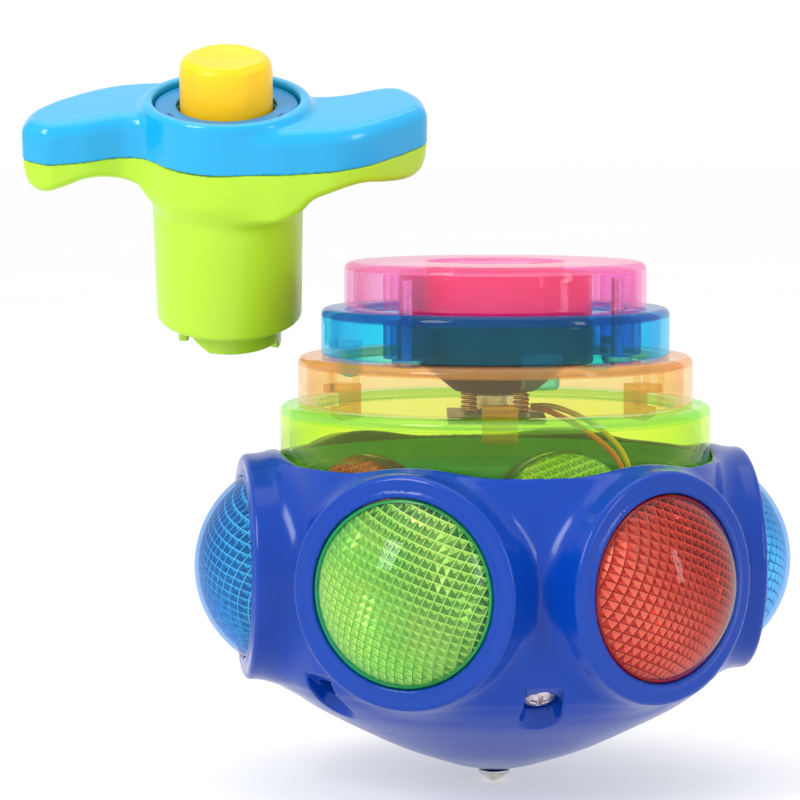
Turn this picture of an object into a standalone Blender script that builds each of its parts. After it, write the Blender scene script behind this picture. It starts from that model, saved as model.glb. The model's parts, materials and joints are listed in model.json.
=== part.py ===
"""Light up spinning top with its wind-up launcher.

Units: every constant is in millimetres and is scaled to metres when a mesh
is made.  The origin is the flat end of the spin tip, +Z runs up the top's
spin axis.  Azimuths are in degrees, 0 at -Y, turning toward +X.
The launcher is modelled in its own frame (origin at the middle of its ring,
+Z toward the button) and is placed by LAUNCHER_FRAME.
"""
import math

import bmesh
import bpy
from mathutils import Matrix, Vector

MM = 0.001
GAP = 0.3                     # clearance kept between neighbouring pieces

# ---------------------------------------------------------------- the top
SEG = 24                      # facets of the round shells
PITCH = 60.0                  # lens pitch
LENS_AZ0 = -21.5              # azimuth of lens 1
LENS_Z = 39.4                 # height of the lens axes and of the part line
BEZEL_R = 19.8                # outer radius of a bezel
BEZEL_FACE = 45.0             # distance of a bezel's flat face from the axis
LENS_R = 15.85                # radius of the dome where it leaves the bezel
LENS_APEX = 53.5
LENS_WALL = 1.4
FLANGE_R = 17.4               # lens flange, held in a groove of the bezel
FLANGE_IN, FLANGE_OUT = 41.7, 43.2
WALL = 2.0

# outer profile of the body, rim to nose: (radius, height)
BODY = [(38.95, 58.3), (39.8, 57.8), (41.2, 51.5), (42.0, 40.3), (41.6, 30.0), (40.5, 22.0),
        (38.6, 19.2), (35.9, 16.9), (31.0, 13.8), (18.5, 7.5), (9.6, 4.2), (7.1, 3.4),
        (3.1, 2.4), (0.0, 2.4)]
RIM_HOLE = 38.35              # bore of the rim that the green tier drops into
LEDGE_R, LEDGE_Z0, LEDGE_Z1 = 33.2, 52.8, 54.3

TIER_WALL = 1.6
# name: (outer radius, bottom, top, flange inner radius)
GREEN = (38.05, 54.7, 67.8, 31.5)
ORANGE = (34.9, 68.1, 76.3, 27.5)
BLUE = (30.8, 76.6, 84.8, 23.5)
PINK = (26.7, 85.1, 92.9, 12.25)
BOSS_AZ = (-45.0, 75.0, 195.0)
BOSS_AT, BOSS_R = 22.0, 4.2

SCREW_AZ0 = 10.5              # wells between the lenses
WELL_S = (37.3, 19.2)         # origin of a screw's axis, close under the bowl's surface
WELL_TILT = 53.0              # its axis below the horizontal
WELL_SEAT = 3.2
WELL_R = 37.05                # distance of a pocket's axis from the top's
COVER_AZ = 99.0               # battery cover, on the bowl

# ----------------------------------------------------------- the launcher
RING_TOP_REST = (-47.26, 0.0, 121.54)   # middle of the launcher's ring
TILT = 19.4                   # the launcher leans toward -Y
ROLL = -0.35                  # and this much toward -X
TUBE_END = -41.2              # lower end of the launcher's tube
DOG_FLAT, DOG_CLAW = 3.95, 5.3  # how far the drive dogs stand out below the tube
PIN_Z = -12.0                 # height of the cross pin in the launcher
BUTTON_TRAVEL = 4.0
DOCK_GAP = 0.35               # tube end above the cap when docked
TOP_Z, PART_Z = -1.5, -9.1    # cover top face and the part line below it
# plan outline, from the left tip along the front to the right tip and back
PLAN = [(-35.4, -6.3), (-33.9, -8.3), (-30.9, -9.9), (-24.0, -8.4), (-17.2, -5.9), (-12.9, -7.0),
        (-8.5, -9.9), (-2.8, -12.4), (5.5, -14.1), (14.0, -13.6), (20.5, -12.0), (25.0, -9.3),
        (29.2, -5.4), (34.8, 1.3), (35.2, 4.0), (33.4, 8.6), (30.6, 12.2), (28.0, 12.5),
        (20.5, 8.9), (17.0, 7.5), (12.9, 7.5), (8.5, 9.9), (2.8, 12.4), (-5.5, 14.2),
        (-14.0, 14.0), (-20.0, 12.4), (-25.0, 9.5), (-32.0, 2.6), (-34.8, -1.3)]
WING_SCREWS = ((-27.0, -0.9), (27.0, 2.2))
# depth of the lower shell under the part line against |x|
DEPTH = [(0.0, 9.5), (9.0, 9.4), (13.4, 7.4), (15.5, 5.4), (19.0, 4.2), (22.5, 3.5),
         (25.0, 3.6), (28.0, 4.55), (32.0, 5.45), (34.6, 4.5), (36.4, 1.9), (37.5, 0.0)]

COLL = None
CUT = None
MATS = {}


# ------------------------------------------------------------------ set-up
def reset():
    for ob in list(bpy.data.objects):
        bpy.data.objects.remove(ob, do_unlink=True)
    for block in (bpy.data.meshes, bpy.data.curves, bpy.data.materials):
        for item in list(block):
            if item.users == 0:
                block.remove(item)


def material(name, rgb, rough, metal=0.0, alpha=1.0, clear=0.0):
    mat = bpy.data.materials.new(name)
    mat.use_nodes = True
    bsdf = mat.node_tree.nodes["Principled BSDF"]
    bsdf.inputs["Base Color"].default_value = (*rgb, 1.0)
    bsdf.inputs["Roughness"].default_value = rough
    bsdf.inputs["Metallic"].default_value = metal
    bsdf.inputs["Alpha"].default_value = alpha
    bsdf.inputs["Transmission Weight"].default_value = clear
    mat.diffuse_color = (*rgb, alpha)
    MATS[name] = mat
    return mat


def add(name, mesh, group):
    ob = bpy.data.objects.new(name, mesh)
    group.objects.link(ob)
    if group is CUT:
        ob.hide_render = True
        ob.display_type = 'WIRE'
    return ob


def evaluated(ob):
    """The object's mesh with its modifiers, in world space."""
    bpy.context.view_layer.update()
    deps = bpy.context.evaluated_depsgraph_get()
    mesh = bpy.data.meshes.new_from_object(ob.evaluated_get(deps), depsgraph=deps)
    mesh.transform(ob.matrix_world)
    return mesh


def finish(ob, mat, sharp=35.0):
    ob.data.materials.clear()
    ob.data.materials.append(MATS[mat])
    if ob.type == 'MESH':
        ob.data.shade_smooth()
        ob.data.set_sharp_from_angle(angle=math.radians(sharp))
    return ob


# ------------------------------------------------------------- the shapes
def lathe(name, profile, seg, group, frame=Matrix.Identity(4), closed=True):
    """A turned piece: profile of (radius, height), with a Screw modifier.
    closed=False is for a profile that starts and ends on the axis."""
    pts = list(profile)
    area = sum(a[0] * b[1] - b[0] * a[1] for a, b in zip(pts, pts[1:] + pts[:1]))
    if area > 0:
        pts.reverse()
    mesh = bpy.data.meshes.new(name)
    edges = [(i, i + 1) for i in range(len(pts) - 1)]
    if closed:
        edges.append((len(pts) - 1, 0))
    mesh.from_pydata([(r * MM, 0, z * MM) for r, z in pts], edges, [])
    ob = add(name, mesh, group)
    mod = ob.modifiers.new("turn", 'SCREW')
    mod.axis = 'Z'
    mod.angle = math.tau
    mod.steps = mod.render_steps = seg
    mod.use_merge_vertices = True
    mod.merge_threshold = 0.00001
    mod.use_smooth_shade = True
    ob.matrix_world = frame
    return ob


def solid_lathe(name, profile, seg, group, frame=Matrix.Identity(4)):
    return lathe(name, profile, seg, group, frame, closed=False)


def rod(name, r0, r1, z0, z1, seg, group, frame=Matrix.Identity(4)):
    """A cylinder or cone between heights z0 (radius r0) and z1 (radius r1)."""
    mesh = bpy.data.meshes.new(name)
    bm = bmesh.new()
    bmesh.ops.create_cone(bm, cap_ends=True, segments=seg, radius1=r0 * MM, radius2=r1 * MM,
                          depth=(z1 - z0) * MM,
                          matrix=Matrix.Translation((0, 0, (z0 + z1) / 2 * MM)))
    bm.to_mesh(mesh)
    bm.free()
    ob = add(name, mesh, group)
    ob.matrix_world = frame
    return ob


def block(name, lo, hi, group, frame=Matrix.Identity(4)):
    mesh = bpy.data.meshes.new(name)
    bm = bmesh.new()
    size = [(b - a) * MM for a, b in zip(lo, hi)]
    mid = [(b + a) / 2 * MM for a, b in zip(lo, hi)]
    bmesh.ops.create_cube(bm, size=1.0, matrix=Matrix.Translation(mid) @ Matrix.Diagonal((*size, 1.0)))
    bm.to_mesh(mesh)
    bm.free()
    ob = add(name, mesh, group)
    ob.matrix_world = frame
    return ob


def outline(name, pts, z0, z1, group, frame=Matrix.Identity(4)):
    """A flat outline, extruded from z0 to z1: a filled 2D curve made a mesh."""
    curve = bpy.data.curves.new(name + "_curve", 'CURVE')
    curve.dimensions = '2D'
    curve.fill_mode = 'BOTH'
    curve.extrude = (z1 - z0) / 2 * MM
    spline = curve.splines.new('POLY')
    spline.points.add(len(pts) - 1)
    for p, (x, y) in zip(spline.points, pts):
        p.co = (x * MM, y * MM, 0, 1)
    spline.use_cyclic_u = True
    guide = add(name + "_curve", curve, CUT)
    guide.matrix_world = Matrix.Translation((0, 0, (z0 + z1) / 2 * MM))
    mesh = evaluated(guide)
    bpy.data.objects.remove(guide, do_unlink=True)
    bm = bmesh.new()
    bm.from_mesh(mesh)
    bmesh.ops.remove_doubles(bm, verts=bm.verts, dist=0.00001)
    bmesh.ops.recalc_face_normals(bm, faces=bm.faces)
    bm.to_mesh(mesh)
    bm.free()
    ob = add(name, mesh, group)
    ob.matrix_world = frame
    return ob


def wire(name, pts, radius, group, frame=Matrix.Identity(4), res=2):
    """A round wire along the points: a bevelled curve with filled caps."""
    curve = bpy.data.curves.new(name, 'CURVE')
    curve.dimensions = '3D'
    curve.bevel_depth = radius * MM
    curve.bevel_resolution = res
    curve.use_fill_caps = True
    spline = curve.splines.new('POLY')
    spline.points.add(len(pts) - 1)
    for p, co in zip(spline.points, pts):
        p.co = (co[0] * MM, co[1] * MM, co[2] * MM, 1)
    ob = add(name, curve, group)
    ob.matrix_world = frame
    return ob


def boolean(ob, tool, op='DIFFERENCE'):
    mod = ob.modifiers.new(op.lower()[:4] + "_" + tool.name[:20], 'BOOLEAN')
    mod.operation = op
    mod.solver = 'EXACT'
    mod.object = tool
    return ob


def join(ob, *tools):
    for tool in tools:
        boolean(ob, tool, 'UNION')
    return ob


def cut(ob, *tools):
    for tool in tools:
        boolean(ob, tool, 'DIFFERENCE')
    return ob


def smooth_curve(pts, per, closed=False):
    """Catmull-Rom points through pts."""
    n = len(pts)
    out = []
    spans = n if closed else n - 1
    for i in range(spans):
        p = [Vector(pts[(i + k) % n] if closed else pts[min(max(i + k, 0), n - 1)]) for k in (-1, 0, 1, 2)]
        for j in range(per):
            t = j / per
            out.append(0.5 * ((2 * p[1]) + (p[2] - p[0]) * t + (2 * p[0] - 5 * p[1] + 4 * p[2] - p[3]) * t * t
                              + (3 * p[1] - p[0] - 3 * p[2] + p[3]) * t ** 3))
    if not closed:
        out.append(Vector(pts[-1]))
    return out


def sector(name, r0, r1, a0, a1, z0, z1, frame):
    """A slice of a ring between two azimuths, as a cutter."""
    n = max(3, round((a1 - a0) / 12))
    arc = [math.radians(a0 + (a1 - a0) * k / n) for k in range(n + 1)]
    pts = [(r1 * math.sin(a), -r1 * math.cos(a)) for a in arc]
    pts += [(r0 * math.sin(a), -r0 * math.cos(a)) for a in reversed(arc)]
    return outline(name, pts, z0, z1, CUT, frame)


def inset(pts, d):
    """The closed outline moved inward by d."""
    n = len(pts)
    area = sum(pts[i][0] * pts[(i + 1) % n][1] - pts[(i + 1) % n][0] * pts[i][1] for i in range(n))
    side = 1 if area > 0 else -1
    out = []
    for i in range(n):
        a, b = Vector(pts[i - 1]), Vector(pts[(i + 1) % n])
        t = (b - a).normalized()
        out.append(Vector(pts[i]) + side * d * Vector((-t.y, t.x)))
    return out


def facing(point, z_dir, x_dir):
    """A frame in metres at point (mm) with its Z along z_dir."""
    z = Vector(z_dir).normalized()
    y = z.cross(Vector(x_dir)).normalized()
    x = y.cross(z)
    rot = Matrix((x, y, z)).transposed().to_4x4()
    return Matrix.Translation(Vector(point) * MM) @ rot


def around(az):
    a = math.radians(az)
    return Vector((math.sin(a), -math.cos(a), 0)), Vector((math.cos(a), math.sin(a), 0))


def radial(az, z, below=0.0, r=0.0):
    """A frame at radius r and height z whose Z axis points outward at the
    azimuth, turned `below` degrees under the horizontal, with X tangential."""
    out, tan = around(az)
    b = math.radians(below)
    d = out * math.cos(b) - Vector((0, 0, 1)) * math.sin(b)
    return facing(out * r + Vector((0, 0, z)), d, tan)


def spun(az):
    """A frame turned so its -Y axis points at the azimuth."""
    return Matrix.Rotation(math.radians(az), 4, 'Z')


def offset_profile(profile, d):
    """Profile points (rim to nose) moved inward by d."""
    out = []
    for i, p in enumerate(profile):
        a = Vector(profile[max(i - 1, 0)])
        b = Vector(profile[min(i + 1, len(profile) - 1)])
        t = (b - a).normalized()
        n = Vector((t.y, -t.x))
        if n.x > 0:
            n = -n
        if abs(n.x) < 1e-6:
            n = Vector((0, 1))
        q = Vector(p) + d * n
        out.append((max(q.x, 0.0), q.y))
    return out


# --------------------------------------------------------------- the body
def lens_tool(index):
    """The stepped hole of one lens: pocket, inner lip, groove and bezel bore."""
    frame = radial(LENS_AZ0 + PITCH * index, LENS_Z)
    prof = [(0, 24), (FLANGE_R + GAP, 24), (FLANGE_R + GAP, 39.7), (14.4, 39.7), (14.4, FLANGE_IN - GAP),
            (FLANGE_R + GAP, FLANGE_IN - GAP), (FLANGE_R + GAP, FLANGE_OUT + GAP),
            (LENS_R + 0.2, FLANGE_OUT + GAP), (LENS_R + 0.2, 52), (0, 52)]
    return solid_lathe("cut_lens_%d" % (index + 1), prof, 16, CUT, frame)


def well_tool(index):
    """A screw well: an upright round pocket whose roof lies level with the screw's head."""
    az = SCREW_AZ0 + PITCH * index
    b = math.radians(WELL_TILT)
    face = (WELL_S[0] - 1.3 * math.cos(b), WELL_S[1] + 1.3 * math.sin(b))
    mesh = bpy.data.meshes.new("cut_well")
    bm = bmesh.new()
    bmesh.ops.create_cone(bm, cap_ends=True, segments=12, radius1=3.6 * MM, radius2=3.6 * MM, depth=2 * MM)
    for v in bm.verts:
        v.co.z = (face[1] - (face[0] - WELL_R) / math.tan(b)) * MM - v.co.y / math.tan(b) if v.co.z > 0 else 2.0 * MM
    bm.to_mesh(mesh)
    bm.free()
    ob = add("cut_well_%d" % (index + 1), mesh, CUT)
    out, _ = around(az)
    ob.matrix_world = Matrix.Translation(out * WELL_R * MM) @ spun(az)
    return ob


def screw_frame(az):
    """Z runs out of the body along a body screw, origin on the bowl's surface."""
    return radial(az, WELL_S[1], WELL_TILT, WELL_S[0])


def body_shells():
    solid = solid_lathe("guide_body", [(0.0, 58.3)] + BODY, SEG, CUT)
    pads = [rod("guide_bezel_%d" % (i + 1), BEZEL_R + 0.5, BEZEL_R, 32.0, BEZEL_FACE, 20, CUT,
                radial(LENS_AZ0 + PITCH * i, LENS_Z)) for i in range(6)]
    join(solid, *pads)
    inner = offset_profile(BODY[2:11], WALL)
    inner = ([(0, 60), (RIM_HOLE, 60), (RIM_HOLE, LEDGE_Z1), (LEDGE_R, LEDGE_Z1), (LEDGE_R, LEDGE_Z0), (37.6, LEDGE_Z0 - 3.0)]
             + [p for p in inner if p[1] < LEDGE_Z0 - 4] + [(8.0, 6.6), (0.0, 6.6)])
    hollow = solid_lathe("guide_hollow", inner, SEG, CUT)
    cut(solid, hollow, *[lens_tool(i) for i in range(6)])
    mesh = evaluated(solid)

    lower = add("lower_shell", mesh.copy(), COLL)
    upper = add("upper_shell", mesh.copy(), COLL)
    half = GAP / 2
    cut(lower, block("cut_above", (-70, -70, LENS_Z - half), (70, 70, 90), CUT))
    cut(upper, block("cut_below", (-70, -70, -10), (70, 70, LENS_Z + half), CUT))

    # lower shell: nose boss, well pads, posts for the circuit board
    join(lower, rod("add_nose", 5.2, 5.2, 4.6, 15.0, 16, CUT))
    for i in range(6):
        az = SCREW_AZ0 + PITCH * i
        pad = rod("add_well_%d" % i, 5.4, 5.4, -6.0, -1.0, 12, CUT, screw_frame(az))
        boolean(pad, solid_lathe("keep_well_%d" % i, [(0, 60)] + offset_profile(BODY[2:11], 0.7) + [(8.0, 5.3), (0.0, 5.3)], SEG, CUT), 'INTERSECT')
        join(lower, pad)
    for i, az in enumerate((40.5, 160.5, 280.5)):
        out, _ = around(az)
        at = Matrix.Translation(out * 18.0 * MM)
        join(lower, rod("add_post_%d" % i, 2.4, 2.4, 9.3, 37.2, 12, CUT, at),
             rod("add_stake_%d" % i, 1.2, 1.2, 36.0, 39.9, 10, CUT, at))
    for i in range(6):
        cut(lower, well_tool(i))
        cut(lower, rod("cut_seat_%d" % i, 3.3, 3.3, -WELL_SEAT, -0.9, 12, CUT, screw_frame(SCREW_AZ0 + PITCH * i)))
        if i % 2 == 0:
            cut(lower, rod("cut_screw_%d" % i, 1.6, 1.6, -9.0, -2.0, 12, CUT, screw_frame(SCREW_AZ0 + PITCH * i)))
    cut(lower, rod("cut_tip", 1.8, 1.8, 0.0, 13.0, 16, CUT))
    cover_at = radial(COVER_AZ, 8.75, 65.0, 21.0)
    cut(lower, block("cut_cover", (-9.0, -10.0, -6.0), (9.0, 10.0, 9.0), CUT, cover_at),
        rod("cut_cover_screw", 1.2, 1.2, -9.5, 3.0, 10, CUT, cover_at @ Matrix.Translation((0, 11.3 * MM, 0))))

    # upper shell: three screw columns and the notches for the green tier's hooks
    for i in (0, 2, 4):
        az = SCREW_AZ0 + PITCH * i
        out, _ = around(az)
        clear = rod("cut_column_%d" % i, 6.4, 6.4, -6.3, 12.0, 16, CUT, screw_frame(az))
        column = rod("add_column_%d" % i, 4.4, 4.4, 21.0, 51.0, 14, CUT, Matrix.Translation(out * 32.0 * MM))
        cut(column, clear)
        join(upper, column, block("add_web_%d" % i, (-1.4, -40.6, 41.5), (1.4, -33.0, 50.0), CUT, spun(az)))
        cut(upper, rod("cut_pilot_%d" % i, 1.35, 1.35, -13.2, -4.0, 10, CUT, screw_frame(az)))
    for i in range(3):
        cut(upper, block("cut_notch_%d" % i, (-3.5, -35.75, 50.0), (3.5, -31.0, 57.0), CUT, spun(40.0 + 120 * i)))
    finish(lower, "blue_shell")
    finish(upper, "blue_shell")

    # battery cover: the piece of bowl that fills the opening
    cover = solid_lathe("battery_cover", [(0.0, 58.3)] + BODY, SEG, COLL)
    cut(cover, solid_lathe("cut_bowl_inside", inner, SEG, CUT))
    boolean(cover, block("keep_cover", (-9.0 + GAP, -10.0 + GAP, -5.5), (9.0 - GAP, 10.0 - GAP, 8.5), CUT, cover_at), 'INTERSECT')
    cover_mesh = evaluated(cover)
    bpy.data.objects.remove(cover, do_unlink=True)
    cover = add("battery_cover", cover_mesh, COLL)
    finish(cover, "blue_shell")
    return cover_at


def lens(index):
    """Domed lens with a flange that the bezel's groove holds."""
    h = LENS_APEX - BEZEL_FACE
    rs = (LENS_R ** 2 + h ** 2) / (2 * h)
    centre = LENS_APEX - rs
    a0 = math.asin(LENS_R / rs)
    dome = [(rs * math.sin(a0 * k / 3), centre + rs * math.cos(a0 * k / 3)) for k in range(4)]
    ri = rs - LENS_WALL
    a1 = math.asin(13.9 / ri)
    inside = [(ri * math.sin(a1 * k / 2), centre + ri * math.cos(a1 * k / 2)) for k in range(2, -1, -1)]
    prof = dome + [(LENS_R, FLANGE_OUT), (FLANGE_R, FLANGE_OUT), (FLANGE_R, FLANGE_IN), (13.9, FLANGE_IN)] + inside
    ob = solid_lathe("lens_%d" % (index + 1), prof, 16, COLL, radial(LENS_AZ0 + PITCH * index, LENS_Z))
    return finish(ob, ("lens_green", "lens_red", "lens_blue")[index % 3])


def tier(name, spec, mat, foot=None):
    """A ring: an upright wall with a flange turned inward at its top."""
    r, z0, z1, hole = spec
    w = TIER_WALL
    prof = [(hole, z1), (r - 0.8, z1), (r, z1 - 0.8), (r, z0)]
    if foot:
        prof += [(foot, z0), (foot, z0 + 1.4), (r - w, z0 + 1.4)]
    else:
        prof += [(r - w, z0)]
    prof += [(r - w, z1 - w), (hole, z1 - w)]
    return finish(lathe(name, prof, SEG, COLL), mat)


def hook(ob, name, az, r, top, foot, catch, reach, bridge=None):
    """A snap hook under a tier: a leg at radius r from `top` down to `foot`,
    with a barb `reach` wide under `catch`, and a bridge to the wall."""
    a, b = r - 0.7, r + 0.7
    pts = [(a, foot), (b, foot), (b + reach, foot + 0.8), (b + reach, catch), (b, catch)]
    if bridge:
        pts += [(b, bridge[1]), (bridge[0], bridge[1]), (bridge[0], top)]
    else:
        pts += [(b, top)]
    pts += [(a, top)]
    out, tan = around(az)
    join(ob, outline(name, pts, -3.0, 3.0, CUT, facing((0, 0, 0), -tan, out)))


def tiers():
    green = tier("green_tier", GREEN, "clear_green", foot=33.2)
    for i in range(3):
        hook(green, "add_green_%d" % i, 40.0 + 120 * i, 34.7, 55.4, 50.4, LEDGE_Z0 - GAP, 1.1)
    orange = tier("orange_tier", ORANGE, "clear_orange")
    for i in range(3):
        az = 120.0 * i
        hook(orange, "add_orange_%d" % i, az, 29.9, 69.9, 63.4, GREEN[2] - TIER_WALL - GAP, 1.9, (33.9, 68.35))
    blue = tier("blue_tier", BLUE, "clear_blue")
    for i in range(3):
        az = 15.0 + 120 * i
        hook(blue, "add_blue_%d" % i, az, 25.9, 78.3, 72.0, ORANGE[2] - TIER_WALL - GAP, 1.9, (29.8, 76.85))
    pink = tier("pink_cap", PINK, "clear_pink")
    for i, az in enumerate(BOSS_AZ):
        out, _ = around(az)
        at = Matrix.Translation(out * BOSS_AT * MM)
        join(pink, rod("add_pink_boss_%d" % i, BOSS_R, BOSS_R, PINK[1] + 0.1, PINK[2] - 0.6, 16, CUT, at))
        join(blue, rod("add_blue_boss_%d" % i, BOSS_R, BOSS_R, 76.8, BLUE[2] - 0.2, 16, CUT, at))
        cut(pink, rod("cut_pink_pilot_%d" % i, 1.35, 1.35, 80.0, 91.0, 10, CUT, at))
        cut(blue, rod("cut_blue_hole_%d" % i, 1.7, 1.7, 70.0, 88.0, 10, CUT, at))
        screw = solid_lathe("cap_screw_%d" % (i + 1), [(0, 90.4), (1.05, 90.4), (1.05, 76.5), (2.8, 76.5), (2.6, 75.2), (0, 75.0)],
                            12, COLL, at)
        finish(screw, "steel")
    # drive socket under the cap, with two ribs that the launcher's dogs turn
    socket = lathe("drive_socket", [(17.2, 91.0), (17.2, 83.0), (2.2, 83.0), (2.2, 84.5), (15.7, 84.5), (15.7, 91.0)], SEG, COLL)
    for i, az in enumerate((112.5, 292.5)):
        join(socket, block("add_rib_%d" % i, (-1.25, -16.2, 84.0), (1.25, -7.0, 90.9), CUT, spun(az)),
             block("add_rib_top_%d" % i, (-1.15, -11.6, 90.0), (1.15, -7.15, 92.4), CUT, spun(az)))
    finish(socket, "socket_pink")


# ------------------------------------------------------ inside the top
def insides(cover_at):
    speaker = lathe("speaker_frame", [(17.4, 82.4), (17.4, 75.0), (13.5, 75.0), (7.2, 70.0), (1.5, 70.0), (1.5, 71.2),
                                      (6.8, 71.2), (12.9, 76.2), (16.2, 76.2), (16.2, 82.4)], 20, COLL)
    finish(speaker, "black_plastic")
    cone = solid_lathe("speaker_cone", [(0, 78.2), (3.4, 77.2), (4.6, 75.6), (15.6, 81.9), (15.6, 81.2), (5.0, 74.6), (4.2, 72.0), (0, 72.0)],
                       18, COLL)
    finish(cone, "speaker_paper")
    finish(rod("speaker_magnet", 5.7, 5.7, 66.6, 69.7, 20, COLL), "steel")
    finish(block("switch_board", (-8.5, -12.5, 65.0), (8.5, 6.5, 66.3), COLL), "board")
    for side, x in (("left", -4.8), ("right", 4.3)):
        turns, steps = 3, 7
        pts = [(x + 1.25 * math.cos(math.tau * k / steps), -9.6 + 1.25 * math.sin(math.tau * k / steps),
                66.9 + 3.3 * k / (turns * steps)) for k in range(turns * steps + 1)]
        finish(wire("switch_spring_" + side, pts, 0.24, COLL, res=1), "copper")

    board = rod("circuit_board", 27.0, 27.0, 37.5, 39.1, SEG, COLL)
    for i, az in enumerate((40.5, 160.5, 280.5)):
        out, _ = around(az)
        cut(board, rod("cut_board_%d" % i, 1.55, 1.55, 36.0, 41.0, 10, CUT, Matrix.Translation(out * 18.0 * MM)))
    finish(board, "board")
    for i in range(6):
        led = solid_lathe("led_%d" % (i + 1), [(0, 31.5), (1.4, 31.0), (2.3, 29.8), (2.5, 28.6), (2.5, 24.0), (2.9, 24.0), (2.9, 23.0), (0, 23.0)],
                          8, COLL, radial(LENS_AZ0 + PITCH * i, 42.4))
        finish(led, "led")

    # battery tray behind the cover: Z of cover_at points out of the bowl
    tray_at = cover_at @ Matrix.Translation((0, 0, -9.5 * MM))
    tray = block("battery_tray", (-10.2, -7.0, -7.4), (10.2, 7.0, 5.6), COLL, tray_at)
    cut(tray, block("cut_tray", (-9.0, -6.1, -6.2), (9.0, 6.1, 8.0), CUT, tray_at))
    finish(tray, "black_plastic")
    for i in range(3):
        x0 = -7.95 + 5.4 * i
        cell = rod("battery_cell_%d" % (i + 1), 5.7, 5.7, x0, x0 + 5.1, 20, COLL,
                   tray_at @ Matrix.Rotation(math.radians(90), 4, 'Y'))
        finish(cell, "steel")
    for name, x0 in (("contact_plus", 8.35), ("contact_minus", -8.7)):
        finish(block(name, (x0, -4.0, -5.0), (x0 + 0.4, 4.0, 4.6), COLL, tray_at), "steel")

    # fasteners and the tip
    for n, i in enumerate((0, 2, 4)):
        frame = screw_frame(SCREW_AZ0 + PITCH * i)
        s = solid_lathe("body_screw_%d" % (n + 1), [(0, -1.3), (1.6, -1.35), (2.6, -1.8), (2.95, -2.5), (2.95, -WELL_SEAT + 0.2),
                                                    (1.1, -WELL_SEAT + 0.2), (1.1, -12.6), (0, -12.9)], 12, COLL, frame)
        finish(s, "steel")
    at = cover_at @ Matrix.Translation((0, 11.3 * MM, 0))
    finish(solid_lathe("battery_screw", [(0, 1.5), (1.5, 1.4), (2.1, 0.75), (0.85, 0.75), (0.85, -7.5), (0, -7.7)], 12, COLL, at), "steel")
    tip = solid_lathe("spin_tip", [(0, 12.6), (1.45, 12.4), (1.45, 2.1), (2.85, 2.1), (2.85, 1.6), (1.0, 0.2), (0.7, 0.0), (0, 0.0)],
                      14, COLL)
    finish(tip, "chrome")

    finish(wire("wire_orange", smooth_curve([(6.5, -2.0, 67.1), (10.0, -5.0, 66.4), (16.0, -7.0, 63.2), (21.5, -6.0, 58.0),
                                            (23.5, -7.5, 50.0), (22.0, -8.5, 43.0), (19.5, -8.0, 39.9)], 3), 0.5, COLL, res=1), "wire_orange")
    finish(wire("wire_yellow", smooth_curve([(6.5, 1.0, 67.1), (11.0, -1.5, 67.0), (17.5, -2.5, 64.0), (22.8, -2.0, 58.5),
                                            (24.6, -4.0, 50.0), (23.0, -5.0, 43.0), (19.0, -5.0, 39.9)], 3), 0.5, COLL, res=1), "wire_yellow")
    tp = tray_at @ Vector((0.004, 0.0, -0.0083))
    finish(wire("wire_battery", smooth_curve([tuple(tp / MM), tuple(tp / MM + Vector((-1.0, 0.5, 3.0))), (9.0, 4.0, 33.0), (8.0, 4.0, 36.9)], 5),
                0.5, COLL, res=1), "wire_orange")


# ------------------------------------------------------------ the launcher
def launcher_geometry():
    """Rest frame, docked frame and the two hinge axes of the launcher."""
    t, w = math.radians(TILT), math.radians(ROLL)
    up = Vector((-math.sin(w), -math.sin(t) * math.cos(w), math.cos(t) * math.cos(w))).normalized()
    rot = Vector((0, 0, 1)).rotation_difference(up).to_matrix()
    ring = Vector(RING_TOP_REST)
    dock_ring_z = PINK[2] + DOCK_GAP - TUBE_END
    n1 = (Vector((0, 0, 1)) - up).normalized()
    q_dock = Vector((0, 0, dock_ring_z + PIN_Z))
    q_rest = ring + up * PIN_Z
    # slide the launcher along Y so both places lie in one plane square to n1
    q_rest.y = q_dock.y + ((q_dock.x - q_rest.x) * n1.x + (q_dock.z - q_rest.z) * n1.z) / n1.y
    ring = q_rest - up * PIN_Z
    frame = Matrix.Translation(ring * MM) @ rot.to_4x4()
    pole = (q_rest + q_dock) / 2
    n2 = (rot @ Vector((0, 1, 0))).normalized()
    return frame, up, n1, n2, q_rest, q_dock, pole


def plan_outline(per=2):
    return smooth_curve(PLAN, per, closed=True)


def depth_profile(raise_by, side_in):
    """XZ outline of the wings' underside, closed over the part line."""
    pts = [(x - side_in if x > 30 else x, PART_Z - d + raise_by) for x, d in DEPTH if PART_Z - d + raise_by < PART_Z - 0.05]
    top = PART_Z + 3.0
    edge = pts[-1][0]
    right = pts + [(edge + (0.0 if side_in else 2.5), PART_Z - 0.001 + 0.2), (edge + (0.0 if side_in else 2.5), top)]
    left = [(-x, z) for x, z in reversed(right)]
    out = left + right[1:] if abs(right[0][0]) < 1e-9 else left + right
    return out


def prism_y(name, pts, group, frame, half=25.0):
    """An XZ outline made a solid 2*half long along Y."""
    turn = Matrix.Rotation(math.radians(90), 4, 'X')
    return outline(name, [(x, z) for x, z in pts], -half, half, group, frame @ turn)


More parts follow.
